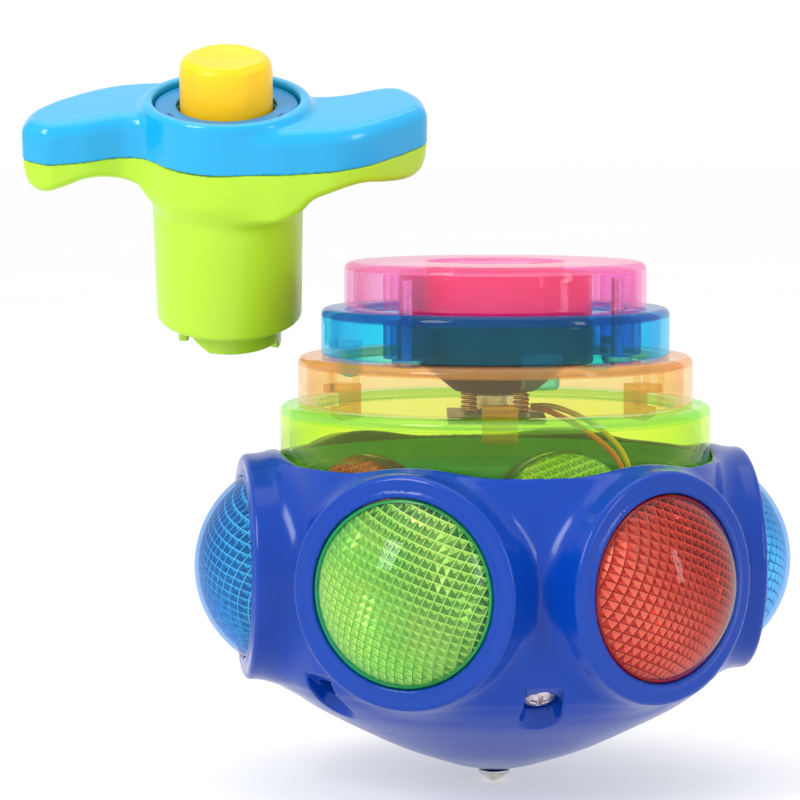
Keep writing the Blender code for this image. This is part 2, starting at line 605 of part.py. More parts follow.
def launcher(frame):
    pts = plan_outline()
    edge_in = inset(pts, 1.6)

    cover = outline("launcher_cover", [tuple(p) for p in pts], PART_Z, TOP_Z, COLL, frame)
    join(cover, rod("add_ring", 14.9, 14.9, -7.0, 0.0, SEG, CUT, frame))
    cut(cover, outline("cut_cover_inside", [tuple(p) for p in edge_in], PART_Z - 3, -3.6, CUT, frame),
        rod("cut_recess", 12.9, 12.9, -2.15, 3.0, SEG, CUT, frame),
        rod("cut_button_hole", 8.6, 8.6, -9.0, 3.0, 24, CUT, frame))
    for i, (x, y) in enumerate(WING_SCREWS):
        at = frame @ Matrix.Translation((x * MM, y * MM, 0))
        join(cover, rod("add_cover_boss_%d" % i, 3.0, 3.0, PART_Z + GAP / 2, -3.0, 12, CUT, at))
        cut(cover, rod("cut_cover_pilot_%d" % i, 1.4, 1.4, PART_Z - 2, -4.4, 10, CUT, at))
    finish(cover, "cover_blue")
    finish(lathe("cover_disc", [(12.6, -1.15), (12.6, -1.85), (8.8, -1.85), (8.8, -1.15)], 24, COLL, frame), "disc_blue")

    shell = outline("launcher_shell", [tuple(p) for p in pts], -20.0, PART_Z - GAP, COLL, frame)
    boolean(shell, prism_y("keep_wings", depth_profile(0.0, 0.0), CUT, frame), 'INTERSECT')
    hub = solid_lathe("add_hub", [(0, -9.6), (14.6, -9.6), (14.6, -15.4), (13.9, -17.0), (13.3, -19.1), (12.95, TUBE_END + 1.0),
                                  (12.1, TUBE_END), (0, TUBE_END)], SEG, CUT, frame)
    join(shell, hub)
    wings_in = outline("cut_wings", [tuple(p) for p in edge_in], -19.0, PART_Z + 2, CUT, frame)
    boolean(wings_in, prism_y("keep_wings_in", depth_profile(1.6, 1.6), CUT, frame), 'INTERSECT')
    bore = solid_lathe("cut_bore", [(0, -5.0), (12.6, -5.0), (12.6, -15.2), (11.3, -18.0), (11.0, -21.4), (0, -21.4)], 30, CUT, frame)
    tube = solid_lathe("cut_tube", [(0, -23.1), (11.0, -23.1), (10.9, -50.0), (0, -50.0)], 30, CUT, frame)
    cut(shell, wings_in, bore, tube, rod("cut_bearing", 2.75, 2.75, -26.0, -18.0, 16, CUT, frame))
    seat = lathe("add_seat", [(6.3, -9.5), (6.3, -10.7), (3.0, -10.7), (3.0, -9.5)], 20, CUT, frame)
    join(shell, seat)
    for s in (-1, 1):
        join(shell, block("add_post_front" if s < 0 else "add_post_rear", (-1.9, min(3.9 * s, 6.1 * s), -22.0),
                          (1.9, max(3.9 * s, 6.1 * s), -10.2), CUT, frame))
    cut(shell, rod("cut_pin", 1.25, 1.25, -8.0, 8.0, 12, CUT,
                   frame @ Matrix.Translation((0, 0, PIN_Z * MM)) @ Matrix.Rotation(math.radians(90), 4, 'X')))
    for i, (x, y) in enumerate(WING_SCREWS):
        at = frame @ Matrix.Translation((x * MM, y * MM, 0))
        join(shell, rod("add_shell_boss_%d" % i, 3.9, 3.9, -13.0, PART_Z - GAP - 0.05, 14, CUT, at))
        cut(shell, rod("cut_shell_hole_%d" % i, 1.6, 1.6, -18.0, -5.0, 10, CUT, at),
            rod("cut_shell_head_%d" % i, 3.0, 3.0, -18.0, -11.6, 14, CUT, at))
        finish(solid_lathe("wing_screw_" + ("left", "right")[i], [(0, -5.0), (1.1, -5.1), (1.1, -11.9), (2.6, -11.9), (2.4, -13.0), (0, -13.1)],
                           12, COLL, at), "steel")
    finish(shell, "lime_shell")

    # button: a hollow cap on a stem, with a slot that the cross pin runs in
    button = solid_lathe("release_button", [(0, 6.9), (3.8, 7.1), (6.6, 7.8), (7.6, 7.6), (8.0, 7.0), (8.15, 5.8), (8.15, -3.9), (9.6, -3.9),
                                            (9.6, -5.6), (6.7, -5.6), (6.7, 5.2), (2.3, 5.2), (2.3, -14.8), (0, -14.8)], 20, COLL, frame)
    cut(button, block("cut_slot", (-1.35, -5.0, PIN_Z - 1.0 - GAP), (1.35, 5.0, PIN_Z + 1.0 + BUTTON_TRAVEL + GAP), CUT, frame))
    finish(button, "button_yellow")
    steps, turns = 9, 4
    pts3 = [(4.9 * math.cos(math.tau * k / steps), 4.9 * math.sin(math.tau * k / steps),
             -8.7 + 13.1 * k / (steps * turns)) for k in range(steps * turns + 1)]
    finish(wire("button_spring", pts3, 0.45, COLL, frame, res=1), "steel")
    finish(rod("stop_pin", 1.0, 1.0, -7.2, 7.2, 12, COLL,
               frame @ Matrix.Translation((0, 0, PIN_Z * MM)) @ Matrix.Rotation(math.radians(90), 4, 'X')), "steel")

    # rotor with its drive dogs
    low, flat = TUBE_END - DOG_CLAW, TUBE_END - DOG_FLAT
    rotor = solid_lathe("rotor", [(0, -19.6), (2.4, -19.6), (2.4, -20.2), (1.9, -20.2), (1.9, -21.25), (2.4, -21.25), (2.4, -34.3),
                                  (10.3, -34.3), (10.3, -36.3), (9.25, -36.3), (9.25, low), (7.5, low), (7.5, -36.3), (0, -36.3)], 28, COLL, frame)
    for i in range(2):
        # the space between the dogs, then the shallower stretch before each claw
        cut(rotor, sector("cut_gap_%d" % i, 5.0, 12.0, 90 + 180 * i, 135 + 180 * i, low - 2, TUBE_END + 0.05, frame),
            sector("cut_flat_%d" % i, 5.0, 12.0, 134 + 180 * i, 252 + 180 * i, low - 2, flat, frame))
        # the ramp that leads each dog over its rib
        ramp = [(-1.5, flat - 1.2), (5.45, flat - 1.2), (-1.5, flat + 2.9)]
        turn = Matrix.Rotation(math.radians(-45 + 180 * i), 4, 'Z')
        cut(rotor, outline("cut_ramp_%d" % i, ramp, 5.0, 12.0, CUT, frame @ turn @ Matrix.Rotation(math.radians(90), 4, 'X')))
    finish(rotor, "lime_shell")
    pts4 = [(6.4 * math.cos(math.tau * k / steps), 6.4 * math.sin(math.tau * k / steps),
             -33.4 + 9.4 * k / (steps * turns)) for k in range(steps * turns + 1)]
    finish(wire("mainspring", pts4, 0.55, COLL, frame, res=1), "steel")
    finish(lathe("rotor_clip", [(3.6, -20.45), (3.6, -21.1), (2.15, -21.1), (2.15, -20.45)], 20, COLL, frame), "steel")


def hang(name, frame, nodes):
    """An empty on a joint's axis (its Z), with the nodes that turn about it."""
    empty = add(name, None, COLL)
    empty.matrix_world = frame
    for node in nodes:
        ob = bpy.data.objects[node]
        ob.parent = empty
        ob.matrix_parent_inverse = frame.inverted()


def main():
    global COLL, CUT
    reset()
    COLL = bpy.data.collections.new("light_up_spinning_top")
    CUT = bpy.data.collections.new("cutters")
    bpy.context.scene.collection.children.link(COLL)
    bpy.context.scene.collection.children.link(CUT)
    material("blue_shell", (0.012, 0.05, 0.50), 0.22)
    material("clear_green", (0.35, 0.90, 0.08), 0.08, clear=0.9)
    material("clear_orange", (1.0, 0.42, 0.10), 0.08, clear=0.9)
    material("clear_blue", (0.03, 0.45, 0.85), 0.08, clear=0.9)
    material("clear_pink", (1.0, 0.12, 0.35), 0.08, clear=0.9)
    material("socket_pink", (0.85, 0.04, 0.25), 0.30)
    material("lens_green", (0.15, 0.65, 0.06), 0.06, clear=0.9)
    material("lens_red", (0.80, 0.04, 0.02), 0.06, clear=0.9)
    material("lens_blue", (0.01, 0.32, 0.75), 0.06, clear=0.9)
    material("black_plastic", (0.015, 0.015, 0.018), 0.45)
    material("speaker_paper", (0.03, 0.03, 0.035), 0.80)
    material("board", (0.02, 0.16, 0.06), 0.40)
    material("steel", (0.62, 0.62, 0.64), 0.28, 1.0)
    material("chrome", (0.85, 0.85, 0.87), 0.08, 1.0)
    material("copper", (0.75, 0.34, 0.14), 0.25, 1.0)
    material("led", (0.9, 0.9, 0.92), 0.10, clear=0.8)
    material("wire_orange", (0.90, 0.25, 0.03), 0.45)
    material("wire_yellow", (0.90, 0.65, 0.05), 0.45)
    material("cover_blue", (0.04, 0.42, 0.85), 0.22)
    material("disc_blue", (0.01, 0.28, 0.55), 0.35)
    material("lime_shell", (0.52, 0.86, 0.05), 0.25)
    material("button_yellow", (0.98, 0.62, 0.01), 0.28)

    cover_at = body_shells()
    for i in range(6):
        lens(i)
    tiers()
    insides(cover_at)
    frame, up, n1, n2, q_rest, q_dock, pole = launcher_geometry()
    launcher(frame)
    hang("swing_axis", facing(pole, n1, (1, 0, 0)), ["stop_pin"])
    hang("level_axis", facing(q_rest, n2, (1, 0, 0)),
         ["launcher_cover", "cover_disc", "launcher_shell", "wing_screw_left", "wing_screw_right", "button_spring", "mainspring"])


main()
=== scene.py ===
# Looks of the light up spinning top and its launcher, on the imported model's frame.
#
# Lengths are in millimetres until a mesh is made.  The opaque mouldings are
# distance fields turned into fine meshes, so their edges are rounded and their
# unions filleted; the transparent tiers and the lenses are turned meshes.
import json
import math

import bmesh
import bpy
import numpy as np
from mathutils import Matrix, Vector


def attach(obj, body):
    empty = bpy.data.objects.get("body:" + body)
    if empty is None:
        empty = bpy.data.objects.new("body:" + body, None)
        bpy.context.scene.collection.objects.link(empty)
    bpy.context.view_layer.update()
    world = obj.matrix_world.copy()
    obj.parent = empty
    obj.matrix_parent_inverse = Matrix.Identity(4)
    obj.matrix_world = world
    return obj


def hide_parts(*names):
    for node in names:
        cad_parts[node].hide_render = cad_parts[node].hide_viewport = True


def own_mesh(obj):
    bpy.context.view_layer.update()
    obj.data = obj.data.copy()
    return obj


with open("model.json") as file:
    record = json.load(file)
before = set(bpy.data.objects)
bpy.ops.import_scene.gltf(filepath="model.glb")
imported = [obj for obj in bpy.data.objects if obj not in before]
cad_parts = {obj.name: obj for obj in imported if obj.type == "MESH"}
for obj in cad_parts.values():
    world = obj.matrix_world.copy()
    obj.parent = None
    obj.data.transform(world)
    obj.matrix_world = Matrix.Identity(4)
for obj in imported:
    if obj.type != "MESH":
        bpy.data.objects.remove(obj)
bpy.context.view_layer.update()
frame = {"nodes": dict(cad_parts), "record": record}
MM = 0.001

# -------------------------------------------------- sizes shared with the CAD
LENS_AZ0, PITCH, LENS_Z = -21.5, 60.0, 39.4
BEZEL_R, BEZEL_FACE = 19.8, 45.0
LENS_R, LENS_APEX = 15.85, 53.5
BODY = [(38.95, 58.3), (39.8, 57.8), (41.2, 51.5), (42.0, 40.3), (41.6, 30.0), (40.5, 22.0),
        (38.6, 19.2), (35.9, 16.9), (31.0, 13.8), (18.5, 7.5), (9.6, 4.2), (7.1, 3.4), (3.1, 2.4), (0.0, 2.4)]
RIM_HOLE = 38.35
GREEN, ORANGE, BLUE, PINK = (38.05, 54.7, 67.8, 31.5), (34.9, 68.1, 76.3, 27.5), (30.8, 76.6, 84.8, 23.5), (26.7, 85.1, 92.9, 12.25)
BOSS_AZ, BOSS_AT, BOSS_R = (-45.0, 75.0, 195.0), 22.0, 4.2
SCREW_AZ0, WELL_S, WELL_TILT, WELL_SEAT, WELL_R = 10.5, (37.3, 19.2), 53.0, 3.2, 37.05
COVER_AZ = 99.0
RING_TOP_REST, TILT, ROLL = (-47.26, 0.0, 121.54), 19.4, -0.35
TUBE_END, DOG_FLAT, DOG_CLAW, PIN_Z, DOCK_GAP = -41.2, 3.95, 5.3, -12.0, 0.35
TOP_Z, PART_Z = -1.5, -9.1
PLAN = [(-35.4, -6.3), (-33.9, -8.3), (-30.9, -9.9), (-28.0, -9.5), (-24.0, -8.4), (-20.0, -6.5), (-17.2, -5.9), (-12.9, -7.0),
        (-8.5, -9.9), (-2.8, -12.4), (2.8, -13.7), (8.5, -14.4), (14.0, -13.5), (19.4, -12.3), (25.0, -9.3),
        (29.2, -5.4), (32.0, -2.3), (34.8, 1.3), (35.2, 4.2), (34.2, 9.0), (31.2, 12.9), (27.8, 13.4), (23.8, 11.3),
        (20.5, 8.9), (17.0, 7.5), (12.9, 7.5), (8.5, 9.9), (2.8, 12.4), (-2.8, 13.7), (-8.5, 14.4),
        (-14.0, 14.3), (-20.0, 13.2), (-25.2, 10.3), (-29.6, 6.5), (-32.6, 3.1), (-34.9, -1.1)]
DEPTH = [(0.0, 9.5), (9.0, 9.4), (13.4, 7.4), (15.5, 5.4), (19.0, 4.2), (22.5, 3.5),
         (25.0, 3.6), (28.0, 4.55), (32.0, 5.45), (34.6, 4.5), (36.4, 1.9), (37.5, 0.0)]


def launcher_matrix():
    t, w = math.radians(TILT), math.radians(ROLL)
    up = Vector((-math.sin(w), -math.sin(t) * math.cos(w), math.cos(t) * math.cos(w))).normalized()
    rot = Vector((0, 0, 1)).rotation_difference(up).to_matrix()
    n1 = (Vector((0, 0, 1)) - up).normalized()
    q_dock = Vector((0, 0, PINK[2] + DOCK_GAP - TUBE_END + PIN_Z))
    q_rest = Vector(RING_TOP_REST) + up * PIN_Z
    q_rest.y = q_dock.y + ((q_dock.x - q_rest.x) * n1.x + (q_dock.z - q_rest.z) * n1.z) / n1.y
    return Matrix.Translation(q_rest - up * PIN_Z) @ rot.to_4x4()


LM = launcher_matrix()          # launcher frame, in millimetres
ID = Matrix.Identity(4)


def around(az):
    a = math.radians(az)
    return Vector((math.sin(a), -math.cos(a), 0)), Vector((math.cos(a), math.sin(a), 0))


def facing(point, z_dir, x_dir):
    z = Vector(z_dir).normalized()
    y = z.cross(Vector(x_dir)).normalized()
    x = y.cross(z)
    return Matrix.Translation(Vector(point)) @ Matrix((x, y, z)).transposed().to_4x4()


def radial(az, z, below=0.0, r=0.0):
    out, tan = around(az)
    b = math.radians(below)
    return facing(out * r + Vector((0, 0, z)), out * math.cos(b) - Vector((0, 0, 1)) * math.sin(b), tan)


# ------------------------------------------------------------------ materials
def nodes_of(name):
    mat = bpy.data.materials.new(name)
    mat.use_nodes = True
    nt = mat.node_tree
    nt.nodes.clear()
    out = nt.nodes.new("ShaderNodeOutputMaterial")
    return mat, nt, out


def srgb(r, g, b):
    def lin(c):
        c /= 255.0
        return c / 12.92 if c <= 0.04045 else ((c + 0.055) / 1.055) ** 2.4
    return (lin(r), lin(g), lin(b), 1.0)


def noise_tex(nt, scale, detail=3.0, rough=0.5):
    co = nt.nodes.new("ShaderNodeTexCoord")
    n = nt.nodes.new("ShaderNodeTexNoise")
    n.inputs["Scale"].default_value = scale
    n.inputs["Detail"].default_value = detail
    n.inputs["Roughness"].default_value = rough
    nt.links.new(co.outputs["Object"], n.inputs["Vector"])
    return n


def remap(nt, src, lo, hi):
    m = nt.nodes.new("ShaderNodeMapRange")
    m.inputs["From Min"].default_value = 0.3
    m.inputs["From Max"].default_value = 0.7
    m.inputs["To Min"].default_value = lo
    m.inputs["To Max"].default_value = hi
    nt.links.new(src, m.inputs["Value"])
    return m.outputs["Result"]


def two_tone(nt, src, a, b):
    ramp = nt.nodes.new("ShaderNodeValToRGB")
    ramp.color_ramp.elements[0].position = 0.35
    ramp.color_ramp.elements[1].position = 0.65
    ramp.color_ramp.elements[0].color = a
    ramp.color_ramp.elements[1].color = b
    nt.links.new(src, ramp.inputs["Fac"])
    return ramp.outputs["Color"]


def shade(c, k):
    return (min(c[0] * k, 1), min(c[1] * k, 1), min(c[2] * k, 1), 1.0)


def wear(nt, bsdf_rough, scratch=0.10):
    """Fine hairline scratches: stretched noise that roughens the gloss."""
    co = nt.nodes.new("ShaderNodeTexCoord")
    mp = nt.nodes.new("ShaderNodeMapping")
    mp.inputs["Scale"].default_value = (60.0, 900.0, 300.0)
    mp.inputs["Rotation"].default_value = (0.3, 0.5, 0.7)
    n = nt.nodes.new("ShaderNodeTexNoise")
    n.inputs["Scale"].default_value = 1.0
    n.inputs["Detail"].default_value = 4.0
    nt.links.new(co.outputs["Object"], mp.inputs["Vector"])
    nt.links.new(mp.outputs["Vector"], n.inputs["Vector"])
    ramp = nt.nodes.new("ShaderNodeMapRange")
    ramp.inputs["From Min"].default_value = 0.62
    ramp.inputs["From Max"].default_value = 0.75
    ramp.inputs["To Min"].default_value = 0.0
    ramp.inputs["To Max"].default_value = scratch
    nt.links.new(n.outputs["Fac"], ramp.inputs["Value"])
    add = nt.nodes.new("ShaderNodeMath")
    add.operation = 'ADD'
    nt.links.new(bsdf_rough, add.inputs[0])
    nt.links.new(ramp.outputs["Result"], add.inputs[1])
    return add.outputs[0]


def plastic(name, rgb, rough=0.18, var=0.06, bump=0.02, coat=0.4, line_z=None, grain=2600.0, sss=0.0, spec=0.5):
    """Moulded opaque plastic: slight flow marks in colour and gloss, a fine skin, hairlines."""
    mat, nt, out = nodes_of(name)
    b = nt.nodes.new("ShaderNodeBsdfPrincipled")
    nt.links.new(b.outputs[0], out.inputs["Surface"])
    flow = noise_tex(nt, 28.0, 4.0)
    col = two_tone(nt, flow.outputs["Fac"], shade(rgb, 1 - var), shade(rgb, 1 + var))
    r = remap(nt, noise_tex(nt, 170.0, 5.0).outputs["Fac"], rough * 0.8, rough * 1.25)
    if line_z is not None:
        # the hairline between the two shells
        co = nt.nodes.new("ShaderNodeTexCoord")
        sep = nt.nodes.new("ShaderNodeSeparateXYZ")
        nt.links.new(co.outputs["Object"], sep.inputs[0])
        comp = nt.nodes.new("ShaderNodeMath")
        comp.operation = 'COMPARE'
        comp.inputs[1].default_value = line_z * MM
        comp.inputs[2].default_value = 0.00011
        nt.links.new(sep.outputs["Z"], comp.inputs[0])
        mix = nt.nodes.new("ShaderNodeMix")
        mix.data_type = 'RGBA'
        nt.links.new(comp.outputs[0], mix.inputs["Factor"])
        nt.links.new(col, mix.inputs[6])
        mix.inputs[7].default_value = shade(rgb, 0.35)
        col = mix.outputs[2]
    nt.links.new(col, b.inputs["Base Color"])
    nt.links.new(wear(nt, r), b.inputs["Roughness"])
    b.inputs["Specular IOR Level"].default_value = spec
    b.inputs["Coat Weight"].default_value = coat
    b.inputs["Coat Roughness"].default_value = 0.04
    if sss:
        b.inputs["Subsurface Weight"].default_value = sss
        b.inputs["Subsurface Radius"].default_value = (1.0, 1.0, 0.6)
        b.inputs["Subsurface Scale"].default_value = 0.0012
    skin = noise_tex(nt, grain, 2.0)
    bm = nt.nodes.new("ShaderNodeBump")
    bm.inputs["Strength"].default_value = bump
    bm.inputs["Distance"].default_value = 0.0001
    nt.links.new(skin.outputs["Fac"], bm.inputs["Height"])
    nt.links.new(bm.outputs[0], b.inputs["Normal"])
    return mat


def metal(name, rgb, rough=0.18, spin=False):
    mat, nt, out = nodes_of(name)
    b = nt.nodes.new("ShaderNodeBsdfPrincipled")
    nt.links.new(b.outputs[0], out.inputs["Surface"])
    b.inputs["Metallic"].default_value = 1.0
    n = noise_tex(nt, 900.0, 5.0)
    nt.links.new(two_tone(nt, n.outputs["Fac"], shade(rgb, 0.82), shade(rgb, 1.12)), b.inputs["Base Color"])
    nt.links.new(remap(nt, noise_tex(nt, 2400.0, 3.0).outputs["Fac"], rough * 0.6, rough * 1.5), b.inputs["Roughness"])
    return mat


def clear(name, face, edge, body=0.10, gloss=1.0, rough=0.02, specks=True, deep=0.0):
    """Tinted transparent plastic: the tint deepens where the wall is seen along
    its length, with a clear gloss, a little scattering and moulding specks."""
    mat, nt, out = nodes_of(name)
    lw = nt.nodes.new("ShaderNodeLayerWeight")
    lw.inputs["Blend"].default_value = 0.35
    ramp = nt.nodes.new("ShaderNodeValToRGB")
    ramp.color_ramp.elements[0].position = 0.15
    ramp.color_ramp.elements[0].color = face
    ramp.color_ramp.elements[1].position = 0.95
    ramp.color_ramp.elements[1].color = edge
    nt.links.new(lw.outputs["Facing"], ramp.inputs["Fac"])
    # slow streaks in the moulding
    streak = noise_tex(nt, 60.0, 4.0)
    tint = nt.nodes.new("ShaderNodeMix")
    tint.data_type = 'RGBA'
    tint.blend_type = 'MULTIPLY'
    tint.inputs["Factor"].default_value = 0.35
    nt.links.new(ramp.outputs["Color"], tint.inputs[6])
    nt.links.new(two_tone(nt, streak.outputs["Fac"], (1, 1, 1, 1), shade(edge, 1.6)), tint.inputs[7])
    tr = nt.nodes.new("ShaderNodeBsdfTransparent")
    nt.links.new(tint.outputs[2], tr.inputs["Color"])
    tl = nt.nodes.new("ShaderNodeBsdfTranslucent")
    tl.inputs["Color"].default_value = shade(edge, 1.15)
    df = nt.nodes.new("ShaderNodeBsdfDiffuse")
    df.inputs["Color"].default_value = shade(edge, 1.05)
    scat = nt.nodes.new("ShaderNodeMixShader")
    scat.inputs[0].default_value = 0.45
    nt.links.new(tl.outputs[0], scat.inputs[1])
    nt.links.new(df.outputs[0], scat.inputs[2])
    amount = remap(nt, noise_tex(nt, 45.0, 5.0).outputs["Fac"], body * 0.6, body * 1.4)
    mx = nt.nodes.new("ShaderNodeMixShader")
    nt.links.new(amount, mx.inputs[0])
    nt.links.new(tr.outputs[0], mx.inputs[1])
    nt.links.new(scat.outputs[0], mx.inputs[2])
    gl = nt.nodes.new("ShaderNodeBsdfGlossy")
    gl.inputs["Roughness"].default_value = rough
    gl.inputs["Color"].default_value = (gloss, gloss, gloss, 1)
    fr = nt.nodes.new("ShaderNodeLayerWeight")
    fr.inputs["Blend"].default_value = 0.5
    p5 = nt.nodes.new("ShaderNodeMath")
    p5.operation = 'POWER'
    p5.inputs[1].default_value = 4.6
    nt.links.new(fr.outputs["Facing"], p5.inputs[0])
    sch = nt.nodes.new("ShaderNodeMath")
    sch.operation = 'MULTIPLY_ADD'
    sch.inputs[1].default_value = 0.62
    sch.inputs[2].default_value = 0.016
    nt.links.new(p5.outputs[0], sch.inputs[0])
    top = nt.nodes.new("ShaderNodeMixShader")
    nt.links.new(sch.outputs[0], top.inputs[0])
    nt.links.new(mx.outputs[0], top.inputs[1])
    nt.links.new(gl.outputs[0], top.inputs[2])
    if specks:
        bm = nt.nodes.new("ShaderNodeBump")
        bm.inputs["Strength"].default_value = 0.25
        bm.inputs["Distance"].default_value = 0.0002
        nt.links.new(noise_tex(nt, 110.0, 3.0).outputs["Fac"], bm.inputs["Height"])
        nt.links.new(bm.outputs[0], gl.inputs["Normal"])
        nt.links.new(bm.outputs[0], fr.inputs["Normal"])
    nt.links.new(top.outputs[0], out.inputs["Surface"])
    return mat


def prism(name, lit, dark, shine=0.2, painted_glow=(0.25, 0.0), clear_part=0.15):
    """Facets moulded on the inside of a lens: part mirror-like, part tint with a painted glow, part clear.
    The mesh's "lit" value slides the tone from the dark side of the lens to the lit side."""
    mat, nt, out = nodes_of(name)
    at = nt.nodes.new("ShaderNodeAttribute")
    at.attribute_name = "lit"
    cloud = noise_tex(nt, 140.0, 3.0)
    jit = nt.nodes.new("ShaderNodeMath")
    jit.operation = 'MULTIPLY_ADD'
    jit.inputs[1].default_value = 0.5
    nt.links.new(cloud.outputs["Fac"], jit.inputs[0])
    off = nt.nodes.new("ShaderNodeMath")
    off.operation = 'SUBTRACT'
    off.inputs[1].default_value = 0.25
    nt.links.new(at.outputs["Fac"], off.inputs[0])
    nt.links.new(off.outputs[0], jit.inputs[2])
    ramp = nt.nodes.new("ShaderNodeValToRGB")
    ramp.color_ramp.elements[0].position = 0.12
    ramp.color_ramp.elements[0].color = dark
    ramp.color_ramp.elements[1].position = 0.88
    ramp.color_ramp.elements[1].color = lit
    nt.links.new(jit.outputs[0], ramp.inputs["Fac"])
    col = ramp.outputs["Color"]
    tl = nt.nodes.new("ShaderNodeBsdfTranslucent")
    df = nt.nodes.new("ShaderNodeBsdfDiffuse")
    nt.links.new(col, tl.inputs["Color"])
    nt.links.new(col, df.inputs["Color"])
    a = nt.nodes.new("ShaderNodeMixShader")
    a.inputs[0].default_value = 0.58
    nt.links.new(tl.outputs[0], a.inputs[1])
    nt.links.new(df.outputs[0], a.inputs[2])
    gl = nt.nodes.new("ShaderNodeBsdfGlossy")
    gl.inputs["Roughness"].default_value = 0.18
    gl.inputs["Color"].default_value = shade(lit, 1.2)
    tr = nt.nodes.new("ShaderNodeBsdfTransparent")
    tr.inputs["Color"].default_value = shade(lit, 0.95)
    b = nt.nodes.new("ShaderNodeMixShader")
    b.inputs[0].default_value = shine
    nt.links.new(a.outputs[0], b.inputs[1])
    nt.links.new(gl.outputs[0], b.inputs[2])
    c = nt.nodes.new("ShaderNodeMixShader")
    c.inputs[0].default_value = clear_part
    nt.links.new(b.outputs[0], c.inputs[1])
    nt.links.new(tr.outputs[0], c.inputs[2])
    # painted glow: an emission in the facet's tone, stronger on the lit side, stands in for light caught by the facets
    em = nt.nodes.new("ShaderNodeEmission")
    nt.links.new(col, em.inputs["Color"])
    gr = nt.nodes.new("ShaderNodeMapRange")
    gr.inputs["To Min"].default_value = painted_glow[1]
    gr.inputs["To Max"].default_value = painted_glow[0]
    nt.links.new(jit.outputs[0], gr.inputs["Value"])
    nt.links.new(gr.outputs["Result"], em.inputs["Strength"])
    add = nt.nodes.new("ShaderNodeAddShader")
    nt.links.new(c.outputs[0], add.inputs[0])
    nt.links.new(em.outputs[0], add.inputs[1])
    nt.links.new(add.outputs[0], out.inputs["Surface"])
    return mat


# -------------------------------------------------------------- mesh helpers
def make(name, verts, faces, mats, body, slot=None, stands_for=(), M=ID, sharp=None, normals=None, index=None):
    verts = np.asarray(verts, float)
    R = np.array(M)[:3, :3]
    world = (verts @ R.T + np.array(M)[:3, 3]) * MM
    mesh = bpy.data.meshes.new(name)
    mesh.from_pydata(world.tolist(), [], [list(map(int, f)) for f in faces])
    return finish_mesh(name, mesh, mats, body, slot, stands_for, sharp, None if normals is None else normals @ R.T, index)


def finish_mesh(name, mesh, mats, body, slot=None, stands_for=(), sharp=None, normals=None, index=None):
    ob = bpy.data.objects.new(name, mesh)
    bpy.context.scene.collection.objects.link(ob)
    mats = mats if isinstance(mats, (list, tuple)) else [mats]
    for m in mats:
        mesh.materials.append(m)
    if index is not None:
        mesh.polygons.foreach_set("material_index", np.asarray(index, np.int32))
    mesh.update()
    mesh.shade_smooth()
    if sharp:
        mesh.set_sharp_from_angle(angle=math.radians(sharp))
    if normals is not None:
        mesh.normals_split_custom_set_from_vertices(normals.tolist())
    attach(ob, body)
    if stands_for:
        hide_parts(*stands_for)
    return ob


def spline(pts, per, closed=False):
    n = len(pts)
    out = []
    for i in range(n if closed else n - 1):
        p = [np.array(pts[(i + k) % n] if closed else pts[min(max(i + k, 0), n - 1)], float) for k in (-1, 0, 1, 2)]
        for j in range(per):
            t = j / per
            out.append(0.5 * (2 * p[1] + (p[2] - p[0]) * t + (2 * p[0] - 5 * p[1] + 4 * p[2] - p[3]) * t * t
                              + (3 * p[1] - p[0] - 3 * p[2] + p[3]) * t ** 3))
    if not closed:
        out.append(np.array(pts[-1], float))
    return [tuple(map(float, q)) for q in out]


def rounded(pts, radii, steps=6, closed=True):
    """The polyline with each corner turned into a curve of about that radius."""
    n = len(pts)
    out = []
    for i in range(n):
        p = Vector(pts[i])
        rad = radii[i] if isinstance(radii, (list, tuple)) else radii
        if not rad or (not closed and i in (0, n - 1)):
            out.append(tuple(p))
            continue
        a, b = Vector(pts[i - 1]) - p, Vector(pts[(i + 1) % n]) - p
        la, lb = a.length, b.length
        a.normalize(), b.normalize()
        half = max(math.acos(max(-1, min(1, a.dot(b)))) / 2, 0.05)
        t = min(rad / math.tan(half), 0.48 * la, 0.48 * lb)
        s, e = p + a * t, p + b * t
        for k in range(steps + 1):
            u = k / steps
            out.append(tuple((1 - u) ** 2 * s + 2 * u * (1 - u) * p + u * u * e))
    return out


def turned(name, profile, seg, mats, body, slot=None, stands_for=(), M=ID, closed=True, sharp=40, pick=None, a0=0.0, a1=360.0, shape=None):
    """A turned mesh about Z.  pick(r, z) gives a face's material index."""
    pts = list(profile)
    area = sum(p[0] * q[1] - q[0] * p[1] for p, q in zip(pts, pts[1:] + pts[:1]))
    if area < 0:
        pts.reverse()
    full = a1 - a0 >= 359.9
    n = len(pts)
    cols = seg if full else seg + 1
    ang = np.radians(a0 + (a1 - a0) * np.arange(cols) / seg)
    shape = shape or (lambda a, r, z: r)
    verts = [(shape(a, r, z) * math.sin(a), -shape(a, r, z) * math.cos(a), z) for a in ang for r, z in pts]
    faces, index = [], []
    for c in range(seg):
        d = (c + 1) % cols
        for i in range(n if closed else n - 1):
            j = (i + 1) % n
            (r0, z0), (r1, z1) = pts[i], pts[j]
            if r0 < 1e-6 and r1 < 1e-6:
                continue
            quad = [c * n + i, d * n + i, d * n + j, c * n + j]
            if r0 < 1e-6:
                quad = [c * n + i, d * n + j, c * n + j]
            elif r1 < 1e-6:
                quad = [c * n + i, d * n + i, c * n + j]
            faces.append(quad)
            index.append(pick((r0 + r1) / 2, (z0 + z1) / 2) if pick else 0)
    return make(name, verts, faces, mats, body, slot, stands_for, M, sharp, index=index if pick else None)


